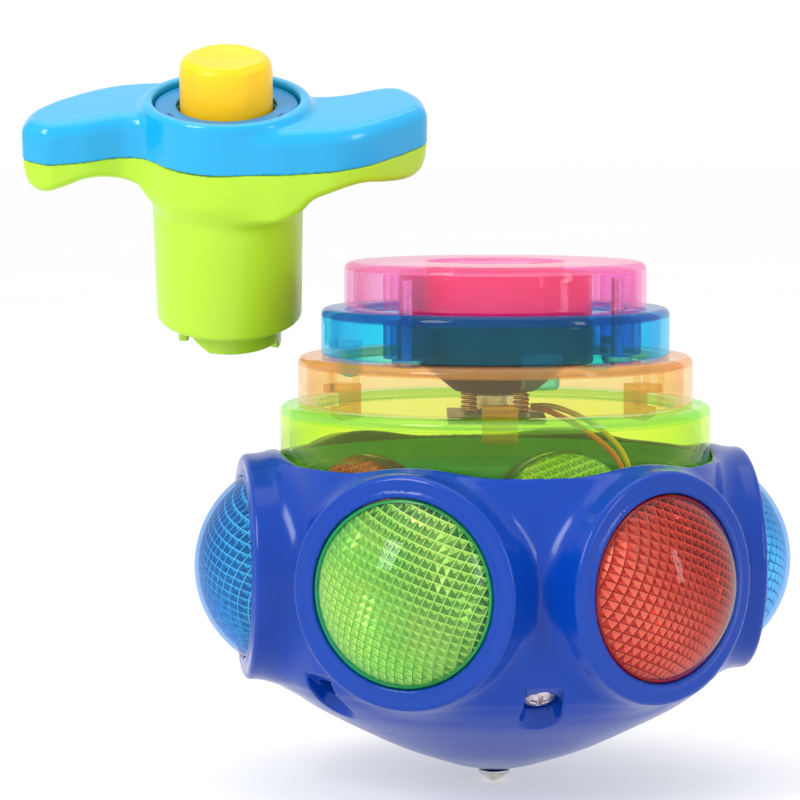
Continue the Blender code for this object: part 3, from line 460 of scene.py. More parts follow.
def tube(name, pts, radius, mat, body, slot=None, stands_for=(), M=ID, sides=10):
    """A round wire along a path, with rounded ends."""
    P = [M @ Vector(p) for p in pts]
    n = len(P)
    verts, faces = [], []
    T = [(P[min(i + 1, n - 1)] - P[max(i - 1, 0)]).normalized() for i in range(n)]
    u = T[0].orthogonal().normalized()
    for i in range(n):
        u = (u - T[i] * u.dot(T[i])).normalized()
        w = T[i].cross(u)
        for k in range(sides):
            a = math.tau * k / sides
            verts.append(P[i] + (u * math.cos(a) + w * math.sin(a)) * radius)
    for i in range(n - 1):
        for k in range(sides):
            m = (k + 1) % sides
            faces.append([i * sides + k, i * sides + m, (i + 1) * sides + m, (i + 1) * sides + k])
    verts.append(P[0] - T[0] * radius * 0.6)
    verts.append(P[-1] + T[-1] * radius * 0.6)
    for k in range(sides):
        m = (k + 1) % sides
        faces.append([m, k, len(verts) - 2])
        faces.append([(n - 1) * sides + k, (n - 1) * sides + m, len(verts) - 1])
    return make(name, [tuple(v) for v in verts], faces, mat, body, slot, stands_for)


# ------------------------------------------------- distance fields to meshes
def poly_sdf(poly, X, Y):
    """Signed distance to a closed polygon, negative inside."""
    best = np.full(X.shape, 1e9, np.float32)
    sign = np.ones(X.shape, np.float32)
    n = len(poly)
    for i in range(n):
        ax, ay = poly[i]
        bx, by = poly[(i + 1) % n]
        ex, ey = bx - ax, by - ay
        wx, wy = X - ax, Y - ay
        t = np.clip((wx * ex + wy * ey) / max(ex * ex + ey * ey, 1e-12), 0, 1)
        dx, dy = wx - ex * t, wy - ey * t
        best = np.minimum(best, dx * dx + dy * dy)
        c1, c2, c3 = Y >= ay, Y < by, ex * wy > ey * wx
        flip = (c1 & c2 & c3) | (~c1 & ~c2 & ~c3)
        sign = np.where(flip, -sign, sign)
    return sign * np.sqrt(best)


class Table:
    """A plane distance table with bilinear lookup."""
    def __init__(self, poly, lo, hi, h):
        self.lo, self.h = lo, h
        xs, ys = np.arange(lo[0], hi[0] + h, h), np.arange(lo[1], hi[1] + h, h)
        X, Y = np.meshgrid(xs, ys, indexing='ij')
        self.t = poly_sdf(poly, X.astype(np.float32), Y.astype(np.float32)).astype(np.float32)

    def __call__(self, x, y):
        nx, ny = self.t.shape
        u = np.clip((x - self.lo[0]) / self.h, 0, nx - 1.001)
        v = np.clip((y - self.lo[1]) / self.h, 0, ny - 1.001)
        i, j = u.astype(np.int32), v.astype(np.int32)
        fu, fv = (u - i).astype(np.float32), (v - j).astype(np.float32)
        t = self.t
        return ((t[i, j] * (1 - fu) + t[i + 1, j] * fu) * (1 - fv) + (t[i, j + 1] * (1 - fu) + t[i + 1, j + 1] * fu) * fv)


def umin(a, b, k):
    """Union with a fillet of about k."""
    h = np.maximum(k - np.abs(a - b), 0) / k
    return np.minimum(a, b) - h * h * k * 0.25


def smax(a, b, k):
    h = np.maximum(k - np.abs(a - b), 0) / k
    return np.maximum(a, b) + h * h * k * 0.25


def both(a, b, rho):
    """Intersection with an edge rounded to radius rho."""
    a, b = a + rho, b + rho
    return np.minimum(np.maximum(a, b), 0) + np.sqrt(np.maximum(a, 0) ** 2 + np.maximum(b, 0) ** 2) - rho


def nets(f, lo, hi, h):
    """Surface nets: a quad mesh of the zero level of f, its points slid onto it."""
    ax = [np.arange(lo[i], hi[i] + h, h, dtype=np.float32) for i in range(3)]
    V = np.empty([len(a) for a in ax], np.float32)
    for i0 in range(0, len(ax[0]), 24):
        X, Y, Z = np.meshgrid(ax[0][i0:i0 + 24], ax[1], ax[2], indexing='ij')
        V[i0:i0 + 24] = f(X, Y, Z)
    S = V < 0
    tot = np.zeros([s - 1 for s in V.shape], np.int8)
    offs = [(a, b, c) for a in (0, 1) for b in (0, 1) for c in (0, 1)]
    for a, b, c in offs:
        tot += S[a:a + tot.shape[0], b:b + tot.shape[1], c:c + tot.shape[2]]
    act = (tot > 0) & (tot < 8)
    ids = np.argwhere(act)
    idx = np.full(act.shape, -1, np.int64)
    idx[act] = np.arange(len(ids))
    acc, cnt = np.zeros((len(ids), 3)), np.zeros(len(ids))
    corner = {o: V[ids[:, 0] + o[0], ids[:, 1] + o[1], ids[:, 2] + o[2]] for o in offs}
    for a in offs:
        for k in range(3):
            if a[k] == 0:
                b = tuple(1 if q == k else a[q] for q in range(3))
                va, vb = corner[a], corner[b]
                m = (va < 0) != (vb < 0)
                t = va[m] / (va[m] - vb[m])
                p = np.tile(np.array(a, float), (m.sum(), 1))
                p[:, k] += t
                acc[m] += p
                cnt[m] += 1
    P = np.array(lo, float) + h * (ids + acc / cnt[:, None])
    quads = []
    I, J, K = idx.shape
    e = S[:-1, 1:-1, 1:-1] != S[1:, 1:-1, 1:-1]
    q = np.argwhere(e) + (0, 1, 1)
    s = S[q[:, 0], q[:, 1], q[:, 2]]
    F = np.stack([idx[q[:, 0], q[:, 1] - 1, q[:, 2] - 1], idx[q[:, 0], q[:, 1], q[:, 2] - 1],
                  idx[q[:, 0], q[:, 1], q[:, 2]], idx[q[:, 0], q[:, 1] - 1, q[:, 2]]], 1)
    quads.append(np.where(s[:, None], F, F[:, ::-1]))
    e = S[1:-1, :-1, 1:-1] != S[1:-1, 1:, 1:-1]
    q = np.argwhere(e) + (1, 0, 1)
    s = S[q[:, 0], q[:, 1], q[:, 2]]
    F = np.stack([idx[q[:, 0] - 1, q[:, 1], q[:, 2] - 1], idx[q[:, 0] - 1, q[:, 1], q[:, 2]],
                  idx[q[:, 0], q[:, 1], q[:, 2]], idx[q[:, 0], q[:, 1], q[:, 2] - 1]], 1)
    quads.append(np.where(s[:, None], F, F[:, ::-1]))
    e = S[1:-1, 1:-1, :-1] != S[1:-1, 1:-1, 1:]
    q = np.argwhere(e) + (1, 1, 0)
    s = S[q[:, 0], q[:, 1], q[:, 2]]
    F = np.stack([idx[q[:, 0] - 1, q[:, 1] - 1, q[:, 2]], idx[q[:, 0], q[:, 1] - 1, q[:, 2]],
                  idx[q[:, 0], q[:, 1], q[:, 2]], idx[q[:, 0] - 1, q[:, 1], q[:, 2]]], 1)
    quads.append(np.where(s[:, None], F, F[:, ::-1]))
    F = np.concatenate(quads)
    for _ in range(3):
        g, d = slope(f, P, 0.1 * h), f(*P.T.astype(np.float32))
        step = np.clip(d / np.maximum((g * g).sum(1), 0.2), -0.4 * h, 0.4 * h)
        P = P - g * step[:, None]
    return P, F


def slope(f, P, e):
    g = np.empty_like(P)
    for k in range(3):
        d = np.zeros(3)
        d[k] = e
        g[:, k] = (f(*(P + d).T) - f(*(P - d).T)) / (2 * e)
    return g


def field_mesh(name, f, lo, hi, h, mats, body, slot=None, stands_for=(), M=ID, keep=None, pick=None):
    """keep = pairs of (piece name, side to clear): the mesh is cut at the lenses' level into those pieces."""
    h = h * 1.0
    P, F = nets(f, lo, hi, h)
    mesh = bpy.data.meshes.new(name)
    mesh.vertices.add(len(P))
    mesh.vertices.foreach_set("co", P.astype(np.float32).ravel())
    mesh.loops.add(4 * len(F))
    mesh.loops.foreach_set("vertex_index", F.astype(np.int32).ravel())
    mesh.polygons.add(len(F))
    mesh.polygons.foreach_set("loop_start", np.arange(0, 4 * len(F), 4, dtype=np.int32))
    mesh.update(calc_edges=True)
    mesh.validate()
    if keep:
        out = []
        for piece, clear_side in keep:
            bm = bmesh.new()
            bm.from_mesh(mesh)
            geom = bm.verts[:] + bm.edges[:] + bm.faces[:]
            bmesh.ops.bisect_plane(bm, geom=geom, plane_co=(0, 0, LENS_Z), plane_no=(0, 0, 1),
                                   clear_outer=clear_side == 'above', clear_inner=clear_side == 'below')
            part = bpy.data.meshes.new(piece)
            bm.to_mesh(part)
            bm.free()
            out.append(finish_field(piece, part, f, mats, body, slot, M, pick))
        return out
    ob = finish_field(name, mesh, f, mats, body, slot, M, pick)
    if stands_for:
        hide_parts(*stands_for)
    return ob


def finish_field(name, mesh, f, mats, body, slot, M, pick):
    n = len(mesh.vertices)
    co = np.empty(n * 3, np.float32)
    mesh.vertices.foreach_get("co", co)
    co = co.reshape(-1, 3).astype(float)
    N = slope(f, co, 0.22)
    N /= np.maximum(np.linalg.norm(N, axis=1), 1e-9)[:, None]
    R, T = np.array(M)[:3, :3], np.array(M)[:3, 3]
    index = None
    if pick:
        cen = np.empty(3 * len(mesh.polygons), np.float32)
        mesh.polygons.foreach_get("center", cen)
        index = pick(*cen.reshape(-1, 3).T).astype(np.int32)
    mesh.vertices.foreach_set("co", ((co @ R.T + T) * MM).astype(np.float32).ravel())
    mesh.update()
    return finish_mesh(name, mesh, mats, body, slot, normals=N @ R.T, index=index)


# ------------------------------------------------------------------- palette
M_BLUE = plastic("body_blue", srgb(0, 58, 158), 0.20, 0.04, 0.03, 0.15, spec=0.22)
# painted light: the inside of the shell is coloured a far brighter green-cyan than the blue moulding, standing in for
# light that reaches in there
M_INSIDE_PAINTED_LIGHT = plastic("body_inside_painted_light", srgb(44, 196, 140), 0.75, 0.25, 0.05, 0.0, spec=0.08)
M_COVER = plastic("sky_blue", srgb(8, 158, 212), 0.20, 0.03, 0.03, 0.25, spec=0.35)
M_LIME = plastic("lime", srgb(172, 216, 44), 0.30, 0.03, 0.04, 0.12, sss=0.12, spec=0.35)
M_YELLOW = plastic("yellow", srgb(250, 192, 6), 0.32, 0.04, 0.04, 0.1, sss=0.12, spec=0.35)
M_DISC = plastic("disc_teal", srgb(26, 130, 190), 0.32, 0.06, 0.08, 0.05, grain=1500.0, spec=0.3)
M_BLACK = plastic("black", srgb(8, 4, 30), 0.5, 0.25, 0.12, 0.0, grain=1500.0, spec=0.25)
M_PAPER = plastic("cone_paper", srgb(40, 38, 44), 0.85, 0.15, 0.4, 0.0, grain=1800.0)
M_BOARD = plastic("board_green", srgb(30, 92, 52), 0.40, 0.18, 0.08, 0.3, grain=900.0)
M_SOCKET = clear("socket_magenta", srgb(255, 130, 190), (0.97, 0.04, 0.27, 1), body=0.80, specks=False)
M_STEEL = metal("zinc_steel", srgb(222, 208, 212), 0.38)
M_CHROME = metal("bright_chrome", srgb(214, 212, 208), 0.06)
M_COPPER = metal("copper_wire", srgb(222, 140, 84), 0.18)
M_LED = clear("lamp_clear", (0.9, 0.92, 0.95, 1), (0.75, 0.78, 0.85, 1), body=0.25, specks=False)
M_WO = plastic("orange_lead", srgb(240, 120, 30), 0.40, 0.08, 0.03, 0.0)
M_WY = plastic("yellow_lead", srgb(240, 205, 60), 0.40, 0.08, 0.03, 0.0)

T_PINK = [clear("pink_wall", (0.999, 0.87, 0.96, 1), (0.995, 0.56, 0.78, 1), body=0.07),
          clear("pink_rim", (0.99, 0.68, 0.84, 1), (0.98, 0.32, 0.56, 1), body=0.30)]
T_BLUE = [clear("blue_wall", (0.44, 0.93, 0.99, 1), (0.05, 0.68, 0.96, 1), body=0.05),
          clear("blue_rim", (0.12, 0.54, 0.84, 1), (0.01, 0.24, 0.58, 1), body=0.28)]
T_ORANGE = [clear("orange_wall", (0.999, 0.945, 0.78, 1), (0.999, 0.76, 0.50, 1), body=0.06),
            clear("orange_rim", (0.99, 0.80, 0.54, 1), (0.98, 0.52, 0.22, 1), body=0.36)]
T_GREEN = [clear("green_wall", (0.94, 0.999, 0.56, 1), (0.74, 0.98, 0.22, 1), body=0.05),
           clear("green_rim", (0.80, 0.99, 0.52, 1), (0.54, 0.97, 0.24, 1), body=0.30)]


# ------------------------------------------------------------------ the body
def body_profile():
    outer = spline(BODY[:-2], 8) + spline([(3.1, 2.4), (0.0, 2.4)], 2)
    return outer + [(0.0, 58.3)]


BODY_T = Table(body_profile(), (-4.0, -4.0), (60.0, 66.0), 0.2)


def lens_axes(X, Y, Z):
    """Distance along, and away from, the nearest lens axis."""
    best_d = None
    for k in range(6):
        o, t = around(LENS_AZ0 + PITCH * k)
        d = X * o.x + Y * o.y
        rr = np.sqrt((X * t.x + Y * t.y) ** 2 + (Z - LENS_Z) ** 2)
        if best_d is None:
            best_d, best_r = d, rr
        else:
            m = d > best_d
            best_d, best_r = np.where(m, d, best_d), np.where(m, rr, best_r)
    return best_d, best_r


def well(X, Y, Z, az):
    """An upright pocket whose roof is level with the screw's head, and the seat behind it."""
    o, t = around(az)
    b = math.radians(WELL_TILT)
    out = X * o.x + Y * o.y
    tan = X * t.x + Y * t.y
    along = (out - WELL_S[0]) * math.cos(b) - (Z - WELL_S[1]) * math.sin(b)
    across = (out - WELL_S[0]) * math.sin(b) + (Z - WELL_S[1]) * math.cos(b)
    grow = np.clip((21.5 - Z) * 0.09, 0, 0.45)
    pocket = np.sqrt(np.maximum(np.abs(out - WELL_R - 2.6) - 2.6, 0) ** 2 + tan * tan) - 3.18 - grow
    pocket = np.maximum(pocket, -1.3 - along)
    seat = np.maximum(np.sqrt(across * across + tan * tan) - 3.25, -WELL_SEAT - along)
    return np.minimum(pocket, np.maximum(seat, along - 2.5))


COVER_M = radial(COVER_AZ, 8.75, 65.0, 21.0)
COVER_I = np.array(COVER_M.inverted())


def cover_box(X, Y, Z, grow):
    A = COVER_I
    x = A[0, 0] * X + A[0, 1] * Y + A[0, 2] * Z + A[0, 3]
    y = A[1, 0] * X + A[1, 1] * Y + A[1, 2] * Z + A[1, 3]
    z = A[2, 0] * X + A[2, 1] * Y + A[2, 2] * Z + A[2, 3]
    return both(both(np.abs(x) - 9.0 - grow, np.abs(y) - 10.0 - grow, 1.2), np.abs(z) - 7.0, 0.2)


def body_field(X, Y, Z):
    R = np.sqrt(X * X + Y * Y)
    prof = BODY_T(R, Z)
    d, rr = lens_axes(X, Y, Z)
    taper = BEZEL_R + np.clip((BEZEL_FACE - d) * 0.05, 0, 0.8)
    pad = both(rr - taper, d - BEZEL_FACE, 0.9)
    pad = np.maximum(pad, 26.0 - d)
    s = umin(prof, pad, 3.4)
    # a faint raised lip round the lens opening
    lip = both(np.abs(rr - (LENS_R + 0.75)) - 0.45, d - BEZEL_FACE - 0.16, 0.25)
    s = umin(s, np.maximum(lip, 40.0 - d), 0.5)
    bore = rr - (LENS_R + 0.15)
    s = smax(s, -np.maximum(bore, 24.0 - d), 0.35)
    # rim bore and cavity
    s = smax(s, -np.maximum(R - RIM_HOLE, 52.0 - Z), 0.5)
    cav = np.maximum(prof + 2.0, Z - 56.0)
    cav = np.maximum(cav, R - 37.6)
    s = np.maximum(s, -cav)
    for k in (0, 2, 4):
        o, _ = around(SCREW_AZ0 + PITCH * k)
        col = np.sqrt((X - o.x * 32.0) ** 2 + (Y - o.y * 32.0) ** 2) - 4.4
        s = umin(s, np.maximum(np.maximum(col, Z - 51.0), 18.0 - Z), 0.8)
    b = math.radians(WELL_TILT)
    for k in range(6):
        o, t = around(SCREW_AZ0 + PITCH * k)
        out, tan = X * o.x + Y * o.y - WELL_S[0], X * t.x + Y * t.y
        along = out * math.cos(b) - (Z - WELL_S[1]) * math.sin(b)
        across = out * math.sin(b) + (Z - WELL_S[1]) * math.cos(b)
        boss = np.maximum(np.sqrt((across + 0.6) ** 2 + tan * tan) - 6.2, np.abs(along + 3.4) - 2.6)
        s = np.minimum(s, np.maximum(boss, prof + 0.7))
    for k in range(6):
        s = smax(s, -well(X, Y, Z, SCREW_AZ0 + PITCH * k), 0.3)
    s = smax(s, -cover_box(X, Y, Z, 0.18), 0.4)
    s = smax(s, -np.maximum(R - 1.6, Z - 5.0), 0.2)
    return s


# faces inside the shell between z 22 and 57.9 take the painted-light inside colour
for ob, node in zip(field_mesh("body", body_field, (-51.5, -51.5, 0.6), (51.5, 51.5, 61.0), 0.5, [M_BLUE, M_INSIDE_PAINTED_LIGHT], "top", "blue_shell",
                               pick=lambda x, y, z: (np.hypot(x, y) < 38.6) & (z > 22.0) & (z < 57.9), keep=(("body_lower", 'above'), ("body_upper", 'below'))), ("lower_shell", "upper_shell")):
    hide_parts(node)


def cover_field(X, Y, Z):
    R = np.sqrt(X * X + Y * Y)
    prof = BODY_T(R, Z)
    return both(smax(prof, -(prof + 2.0), 0.3), cover_box(X, Y, Z, -0.18), 0.35)


field_mesh("battery_door", cover_field, (8.0, -12.0, 1.0), (33.0, 18.0, 20.0), 0.3, [M_BLUE], "top", "blue_shell", ("battery_cover",))


# ------------------------------------------------------------------ the lenses
LENS_LOOK = []
for key, face, edge, facet_lit_and_shade_tones in (
        ("green", (0.95, 0.99, 0.91, 1), (0.16, 0.76, 0.40, 1),
         ((srgb(230, 246, 142), srgb(204, 234, 112)), (srgb(188, 232, 106), srgb(150, 208, 94)), (srgb(124, 188, 86), srgb(84, 158, 78)), (srgb(50, 130, 74), srgb(26, 96, 60)))),
        ("red", (0.99, 0.84, 0.80, 1), (0.72, 0.10, 0.11, 1),
         ((srgb(234, 136, 116), srgb(212, 86, 74)), (srgb(206, 62, 48), srgb(178, 40, 34)), (srgb(152, 28, 28), srgb(120, 18, 22)), (srgb(102, 14, 20), srgb(70, 8, 14)))),
        ("blue", (0.84, 0.97, 0.999, 1), (0.04, 0.44, 0.84, 1),
         ((srgb(124, 218, 252), srgb(74, 188, 244)), (srgb(50, 164, 232), srgb(32, 138, 214)), (srgb(24, 120, 198), srgb(16, 94, 170)), (srgb(12, 78, 150), srgb(8, 58, 122))))):
    # painted light: ridges and facets run from a dark tone to a lit tone by the "lit" value, the ridges the other way
    # round, and the fourth facet stays light as a painted glint
    LENS_LOOK.append((clear("lens_dome_" + key, face, edge, body=0.02, specks=False, rough=0.05),
                      clear("lens_edge_" + key, edge, shade(edge, 0.8), body=0.75, specks=False),
                      [prism("lens_ridge_" + key, facet_lit_and_shade_tones[2][1], facet_lit_and_shade_tones[0][0], 0.10, (0.0, 0.20), 0.05),
                       prism("lens_facet_%s_1" % key, facet_lit_and_shade_tones[0][0], facet_lit_and_shade_tones[2][1], 0.12, (0.26, 0.02), 0.12),
                       prism("lens_facet_%s_2" % key, facet_lit_and_shade_tones[0][1], facet_lit_and_shade_tones[3][0], 0.18, (0.20, 0.0), 0.20),
                       prism("lens_facet_%s_3" % key, facet_lit_and_shade_tones[1][0], facet_lit_and_shade_tones[3][1], 0.26, (0.12, 0.0), 0.26),
                       prism("lens_facet_%s_4" % key, facet_lit_and_shade_tones[0][0], facet_lit_and_shade_tones[1][0], 0.12, (0.22, 0.12), 0.10)], key))


def lens(k):
    dome_mat, edge_mat, net_mats, key = LENS_LOOK[k % 3]
    M = radial(LENS_AZ0 + PITCH * k, LENS_Z)
    h = LENS_APEX - BEZEL_FACE
    rs = (LENS_R ** 2 + h ** 2) / (2 * h)
    c = LENS_APEX - rs
    a0 = math.asin(LENS_R / rs)
    dome = [(rs * math.sin(a0 * i / 26), c + rs * math.cos(a0 * i / 26)) for i in range(27)]
    dome += [(LENS_R, 44.4), (LENS_R, 43.3)]
    turned("lens_dome_%d" % (k + 1), dome, 96, dome_mat, "top", "lens_" + key, M=M, closed=False, sharp=30)
    # the rim of the lens, seen as a darker line where the dome enters the bezel
    turned("lens_rim_%d" % (k + 1), rounded([(LENS_R - 0.03, 44.9), (LENS_R - 0.03, 42.0), (15.2, 42.0), (15.35, 45.15)], 0.12, 3), 96,
           edge_mat, "top", "lens_" + key, M=M)
    # prisms on the inner face: a square net of shallow pyramids between raised ridges
    p, turn = 1.45, math.radians(-22.0)
    ri = rs - 0.75
    lim = 15.45
    n = int(lim / p) + 2
    ridge = 0.085
    verts, faces, index, tone = [], [], {}, []

    def node(i, j, drop):
        x, y = (i * math.cos(turn) - j * math.sin(turn)) * p, (i * math.sin(turn) + j * math.cos(turn)) * p
        q = math.hypot(x, y)
        if q > lim:
            x, y = x * lim / q, y * lim / q
            q = lim
        return (x, y, c + math.sqrt(max(ri * ri - q * q, 0)) - drop)

    def at(i, j, drop=0.0):
        key2 = (round(i, 3), round(j, 3), drop)
        if key2 not in index:
            index[key2] = len(verts)
            verts.append(node(i, j, drop))
        return index[key2]

    e = ridge
    for i in range(-n, n):
        for j in range(-n, n):
            if math.hypot((i + 0.5) * p, (j + 0.5) * p) > lim + 0.55:
                continue
            faces.append([at(i, j), at(i + 1, j), at(i + 1, j + e), at(i, j + e)])
            faces.append([at(i, j + e), at(i + e, j + e), at(i + e, j + 1), at(i, j + 1)])
            tone += [0, 0]
            ring = [at(i + e, j + e), at(i + 1, j + e), at(i + 1, j + 1), at(i + e, j + 1)]
            verts.append(node(i + 0.5 + e / 2, j + 0.5 + e / 2, 0.42))
            m = len(verts) - 1
            # painted light: the four facets of each pyramid take lit, shaded and glint materials by their place in it
            for s, t in zip(range(4), (2, 1, 4, 3) if (i + j) % 3 else (3, 1, 4, 2)):
                faces.append([ring[s], ring[(s + 1) % 4], m])
                tone.append(t)
    net = make("lens_prisms_%d" % (k + 1), verts, faces, net_mats, "top", "lens_" + key, ("lens_%d" % (k + 1),), M=M, index=tone)
    net.data.shade_flat()
    # painted light: "lit" rises towards the lower left of each lens, so the facets there are painted lighter
    v = np.array(verts)
    g = (-0.62 * v[:, 0] - 0.52 * v[:, 1]) / lim
    g = 0.50 + 1.0 * g + 0.10 * np.sin(0.55 * v[:, 0] + 0.9) * np.cos(0.4 * v[:, 1])
    lit = net.data.attributes.new("lit", 'FLOAT', 'POINT')
    lit.data.foreach_set("value", np.clip(g, 0.0, 1.0).astype(np.float32))


for k in range(6):
    lens(k)


# -------------------------------------------------------------------- tiers
def tier_profile(spec, foot=None, crown=1.5, w=1.6):
    r, z0, z1, hole = spec
    pts = [(hole, z1), (r, z1), (r, z0)]
    rad = [0.5, crown, 0.25]
    if foot:
        pts += [(foot, z0), (foot, z0 + 1.4), (r - w, z0 + 1.4)]
        rad += [0.25, 0.25, 0.4]
    else:
        pts += [(r - w, z0)]
        rad += [0.25]
    pts += [(r - w, z1 - w), (hole, z1 - w)]
    rad += [0.7, 0.4]
    return rounded(pts, rad, 7)


def rim_pick(z_from):
    return lambda r, z: 1 if z > z_from else 0


SEGS = 144
turned("tier_green", tier_profile(GREEN, foot=33.2), SEGS, T_GREEN, "top", "clear_green", ("green_tier",), pick=rim_pick(GREEN[2] - 2.3))
turned("tier_orange", tier_profile(ORANGE), SEGS, T_ORANGE, "top", "clear_orange", ("orange_tier",), pick=rim_pick(ORANGE[2] - 1.9))
turned("tier_blue", tier_profile(BLUE), SEGS, T_BLUE, "top", "clear_blue", ("blue_tier",), pick=rim_pick(BLUE[2] - 1.9))
turned("tier_pink", tier_profile(PINK, crown=1.8), SEGS, T_PINK, "top", "clear_pink", ("pink_cap",), pick=rim_pick(PINK[2] - 1.5))


def prism_block(name, pts, half, M, mats, slot, bevel=0.25):
    """A flat outline in XZ made a bar 2*half wide, with bevelled edges."""
    bm = bmesh.new()
    vs = [bm.verts.new((x, -half, z)) for x, z in pts]
    f = bm.faces.new(vs)
    ext = bmesh.ops.extrude_face_region(bm, geom=[f])
    for v in ext["geom"]:
        if isinstance(v, bmesh.types.BMVert):
            v.co.y = half
    bmesh.ops.recalc_face_normals(bm, faces=bm.faces)
    bmesh.ops.bevel(bm, geom=[e for e in bm.edges], offset=bevel, segments=2, affect='EDGES', profile=0.5)
    verts = [tuple(v.co) for v in bm.verts]
    bm.verts.index_update()
    faces = [[v.index for v in fc.verts] for fc in bm.faces]
    bm.free()
    return make(name, verts, faces, mats, "top", slot, M=M, sharp=40)


def hook(name, az, r, top, foot, catch, reach, bridge, mats, slot):
    a, b = r - 0.7, r + 0.7
    pts = [(a, foot), (b, foot), (b + reach, foot + 0.8), (b + reach, catch), (b, catch)]
    pts += [(b, bridge[1]), (bridge[0], bridge[1]), (bridge[0], top)] if bridge else [(b, top)]
    pts += [(a, top)]
    out, tan = around(az)
    M = Matrix((out, tan, Vector((0, 0, 1)))).transposed().to_4x4()
    return prism_block(name, pts, 3.0, M, mats, slot)


M_HOOK = clear("orange_hook", (0.99, 0.88, 0.42, 1), (0.92, 0.62, 0.16, 1), body=0.22)
for i in range(3):
    hook("green_hook_%d" % (i + 1), 40.0 + 120 * i, 34.7, 55.4, 50.4, 52.5, 1.1, None, [T_GREEN[0]], "clear_green")
    hook("orange_hook_%d" % (i + 1), 120.0 * i, 29.9, 69.9, 63.4, 65.9, 1.9, (33.9, 68.35), [M_HOOK], "clear_orange")
    hook("blue_hook_%d" % (i + 1), 15.0 + 120.0 * i, 25.9, 78.3, 72.0, 74.4, 1.9, (29.8, 76.85), [T_BLUE[0]], "clear_blue")
# stiffening ribs inside the orange wall
for n, az in enumerate((-61.5, -48.0, 46.0, 59.0, 121.0, -118.0)):
    out, tan = around(az)
    M = Matrix((out, tan, Vector((0, 0, 1)))).transposed().to_4x4()
    prism_block("orange_rib_%d" % (n + 1), [(32.2, 68.4), (33.35, 68.4), (33.35, 74.75), (32.2, 74.75)], 0.35, M, [T_ORANGE[0]], "clear_orange", 0.15)
M_BOSS = clear("blue_boss", (0.42, 0.70, 0.93, 1), (0.05, 0.10, 0.50, 1), body=0.05)
for i, az in enumerate(BOSS_AZ):
    out, _ = around(az)
    at = Matrix.Translation(out * BOSS_AT)
    for nm, z0, z1, mt, sl in (("pink", PINK[1] + 0.1, PINK[2] - 1.7, T_PINK[0], "clear_pink"), ("blue", 76.8, BLUE[2] - 1.7, M_BOSS, "clear_blue")):
        turned("%s_boss_%d" % (nm, i + 1), rounded([(BOSS_R, z1), (BOSS_R, z0), (BOSS_R - 1.2, z0), (BOSS_R - 1.2, z1)], 0.25, 3), 40, [mt], "top", sl, M=at)
    turned("cap_screw_fine_%d" % (i + 1), rounded([(0, 90.4), (1.05, 90.2), (1.05, 76.5), (2.8, 76.5), (2.6, 75.2), (0, 75.0)], [0, .2, .1, .15, .5, 0], 4, False), 32,
           M_STEEL, "top", "steel", ("cap_screw_%d" % (i + 1),), M=at, closed=False)

# the drive socket: a deep pink cup with two ribs
turned("socket_cup", rounded([(17.2, 91.0), (17.2, 83.0), (2.2, 83.0), (2.2, 84.5), (15.7, 84.5), (15.7, 91.0)], [.3, .8, .3, .3, .8, .3], 5), SEGS,
       [M_SOCKET], "top", "socket_pink", ("drive_socket",))
for i, az in enumerate((112.5, 292.5)):
    out, tan = around(az)
    M = Matrix((out, tan, Vector((0, 0, 1)))).transposed().to_4x4()
    prism_block("socket_rib_%d" % (i + 1), [(7.1, 84.3), (15.8, 84.3), (15.8, 90.9), (11.6, 90.9), (11.6, 92.4), (7.1, 92.4)], 1.2, M, [M_SOCKET], "socket_pink", 0.3)

# ------------------------------------------------------------ inside the tiers
turned("speaker_basket", rounded([(17.4, 82.4), (17.4, 75.0), (13.5, 75.0), (7.2, 70.0), (1.5, 70.0), (1.5, 71.2), (6.8, 71.2), (12.9, 76.2), (16.2, 76.2), (16.2, 82.4)],
                                 [.3, .5, .3, .3, .2, .2, .3, .3, .3, .3], 4), 96, M_BLACK, "top", "black_plastic", ("speaker_frame",))
turned("speaker_paper_cone", rounded([(0, 78.2), (3.4, 77.2), (4.6, 75.6), (15.6, 81.9), (15.6, 81.2), (5.0, 74.6), (4.2, 72.0), (0, 72.0)], [0, .8, .8, .2, .2, .4, .3, 0], 4, False), 72,
       M_PAPER, "top", "speaker_paper", ("speaker_cone",), closed=False)
turned("speaker_magnet_fine", rounded([(0, 69.7), (5.7, 69.7), (5.7, 66.6), (0, 66.6)], [0, .4, .4, 0], 4, False), 64, M_STEEL, "top", "steel", ("speaker_magnet",), closed=False)
for side, x in (("left", -4.8), ("right", 4.3)):
    pts = [(x + 1.25 * math.cos(math.tau * k / 20), -9.6 + 1.25 * math.sin(math.tau * k / 20), 66.9 + 3.3 * k / 90) for k in range(91)]
    tube("contact_spring_" + side, pts, 0.24, M_COPPER, "top", "copper", ("switch_spring_" + side,), sides=8)
tube("lead_orange", spline([(6.5, -2.0, 67.1), (10.0, -5.0, 66.4), (16.0, -7.0, 63.2), (21.5, -6.0, 58.0), (23.5, -7.5, 50.0), (22.0, -8.5, 43.0), (19.5, -8.0, 39.9)], 10),
     0.5, M_WO, "top", "wire_orange", ("wire_orange",), sides=12)
tube("lead_yellow", spline([(6.5, 1.0, 67.1), (11.0, -1.5, 67.0), (17.5, -2.5, 64.0), (22.8, -2.0, 58.5), (24.6, -4.0, 50.0), (23.0, -5.0, 43.0), (19.0, -5.0, 39.9)], 10),
     0.5, M_WY, "top", "wire_yellow", ("wire_yellow",), sides=12)

# ------------------------------------------------------------- tip and screws
turned("spin_point", rounded([(0, 12.6), (1.45, 12.4), (1.45, 2.1), (2.85, 2.1), (2.85, 1.6), (1.0, 0.2), (0.7, 0.0), (0, 0)], [0, .3, .1, .2, .35, .25, .1, 0], 5, False), 64,
       M_CHROME, "top", "chrome", ("spin_tip",), closed=False)


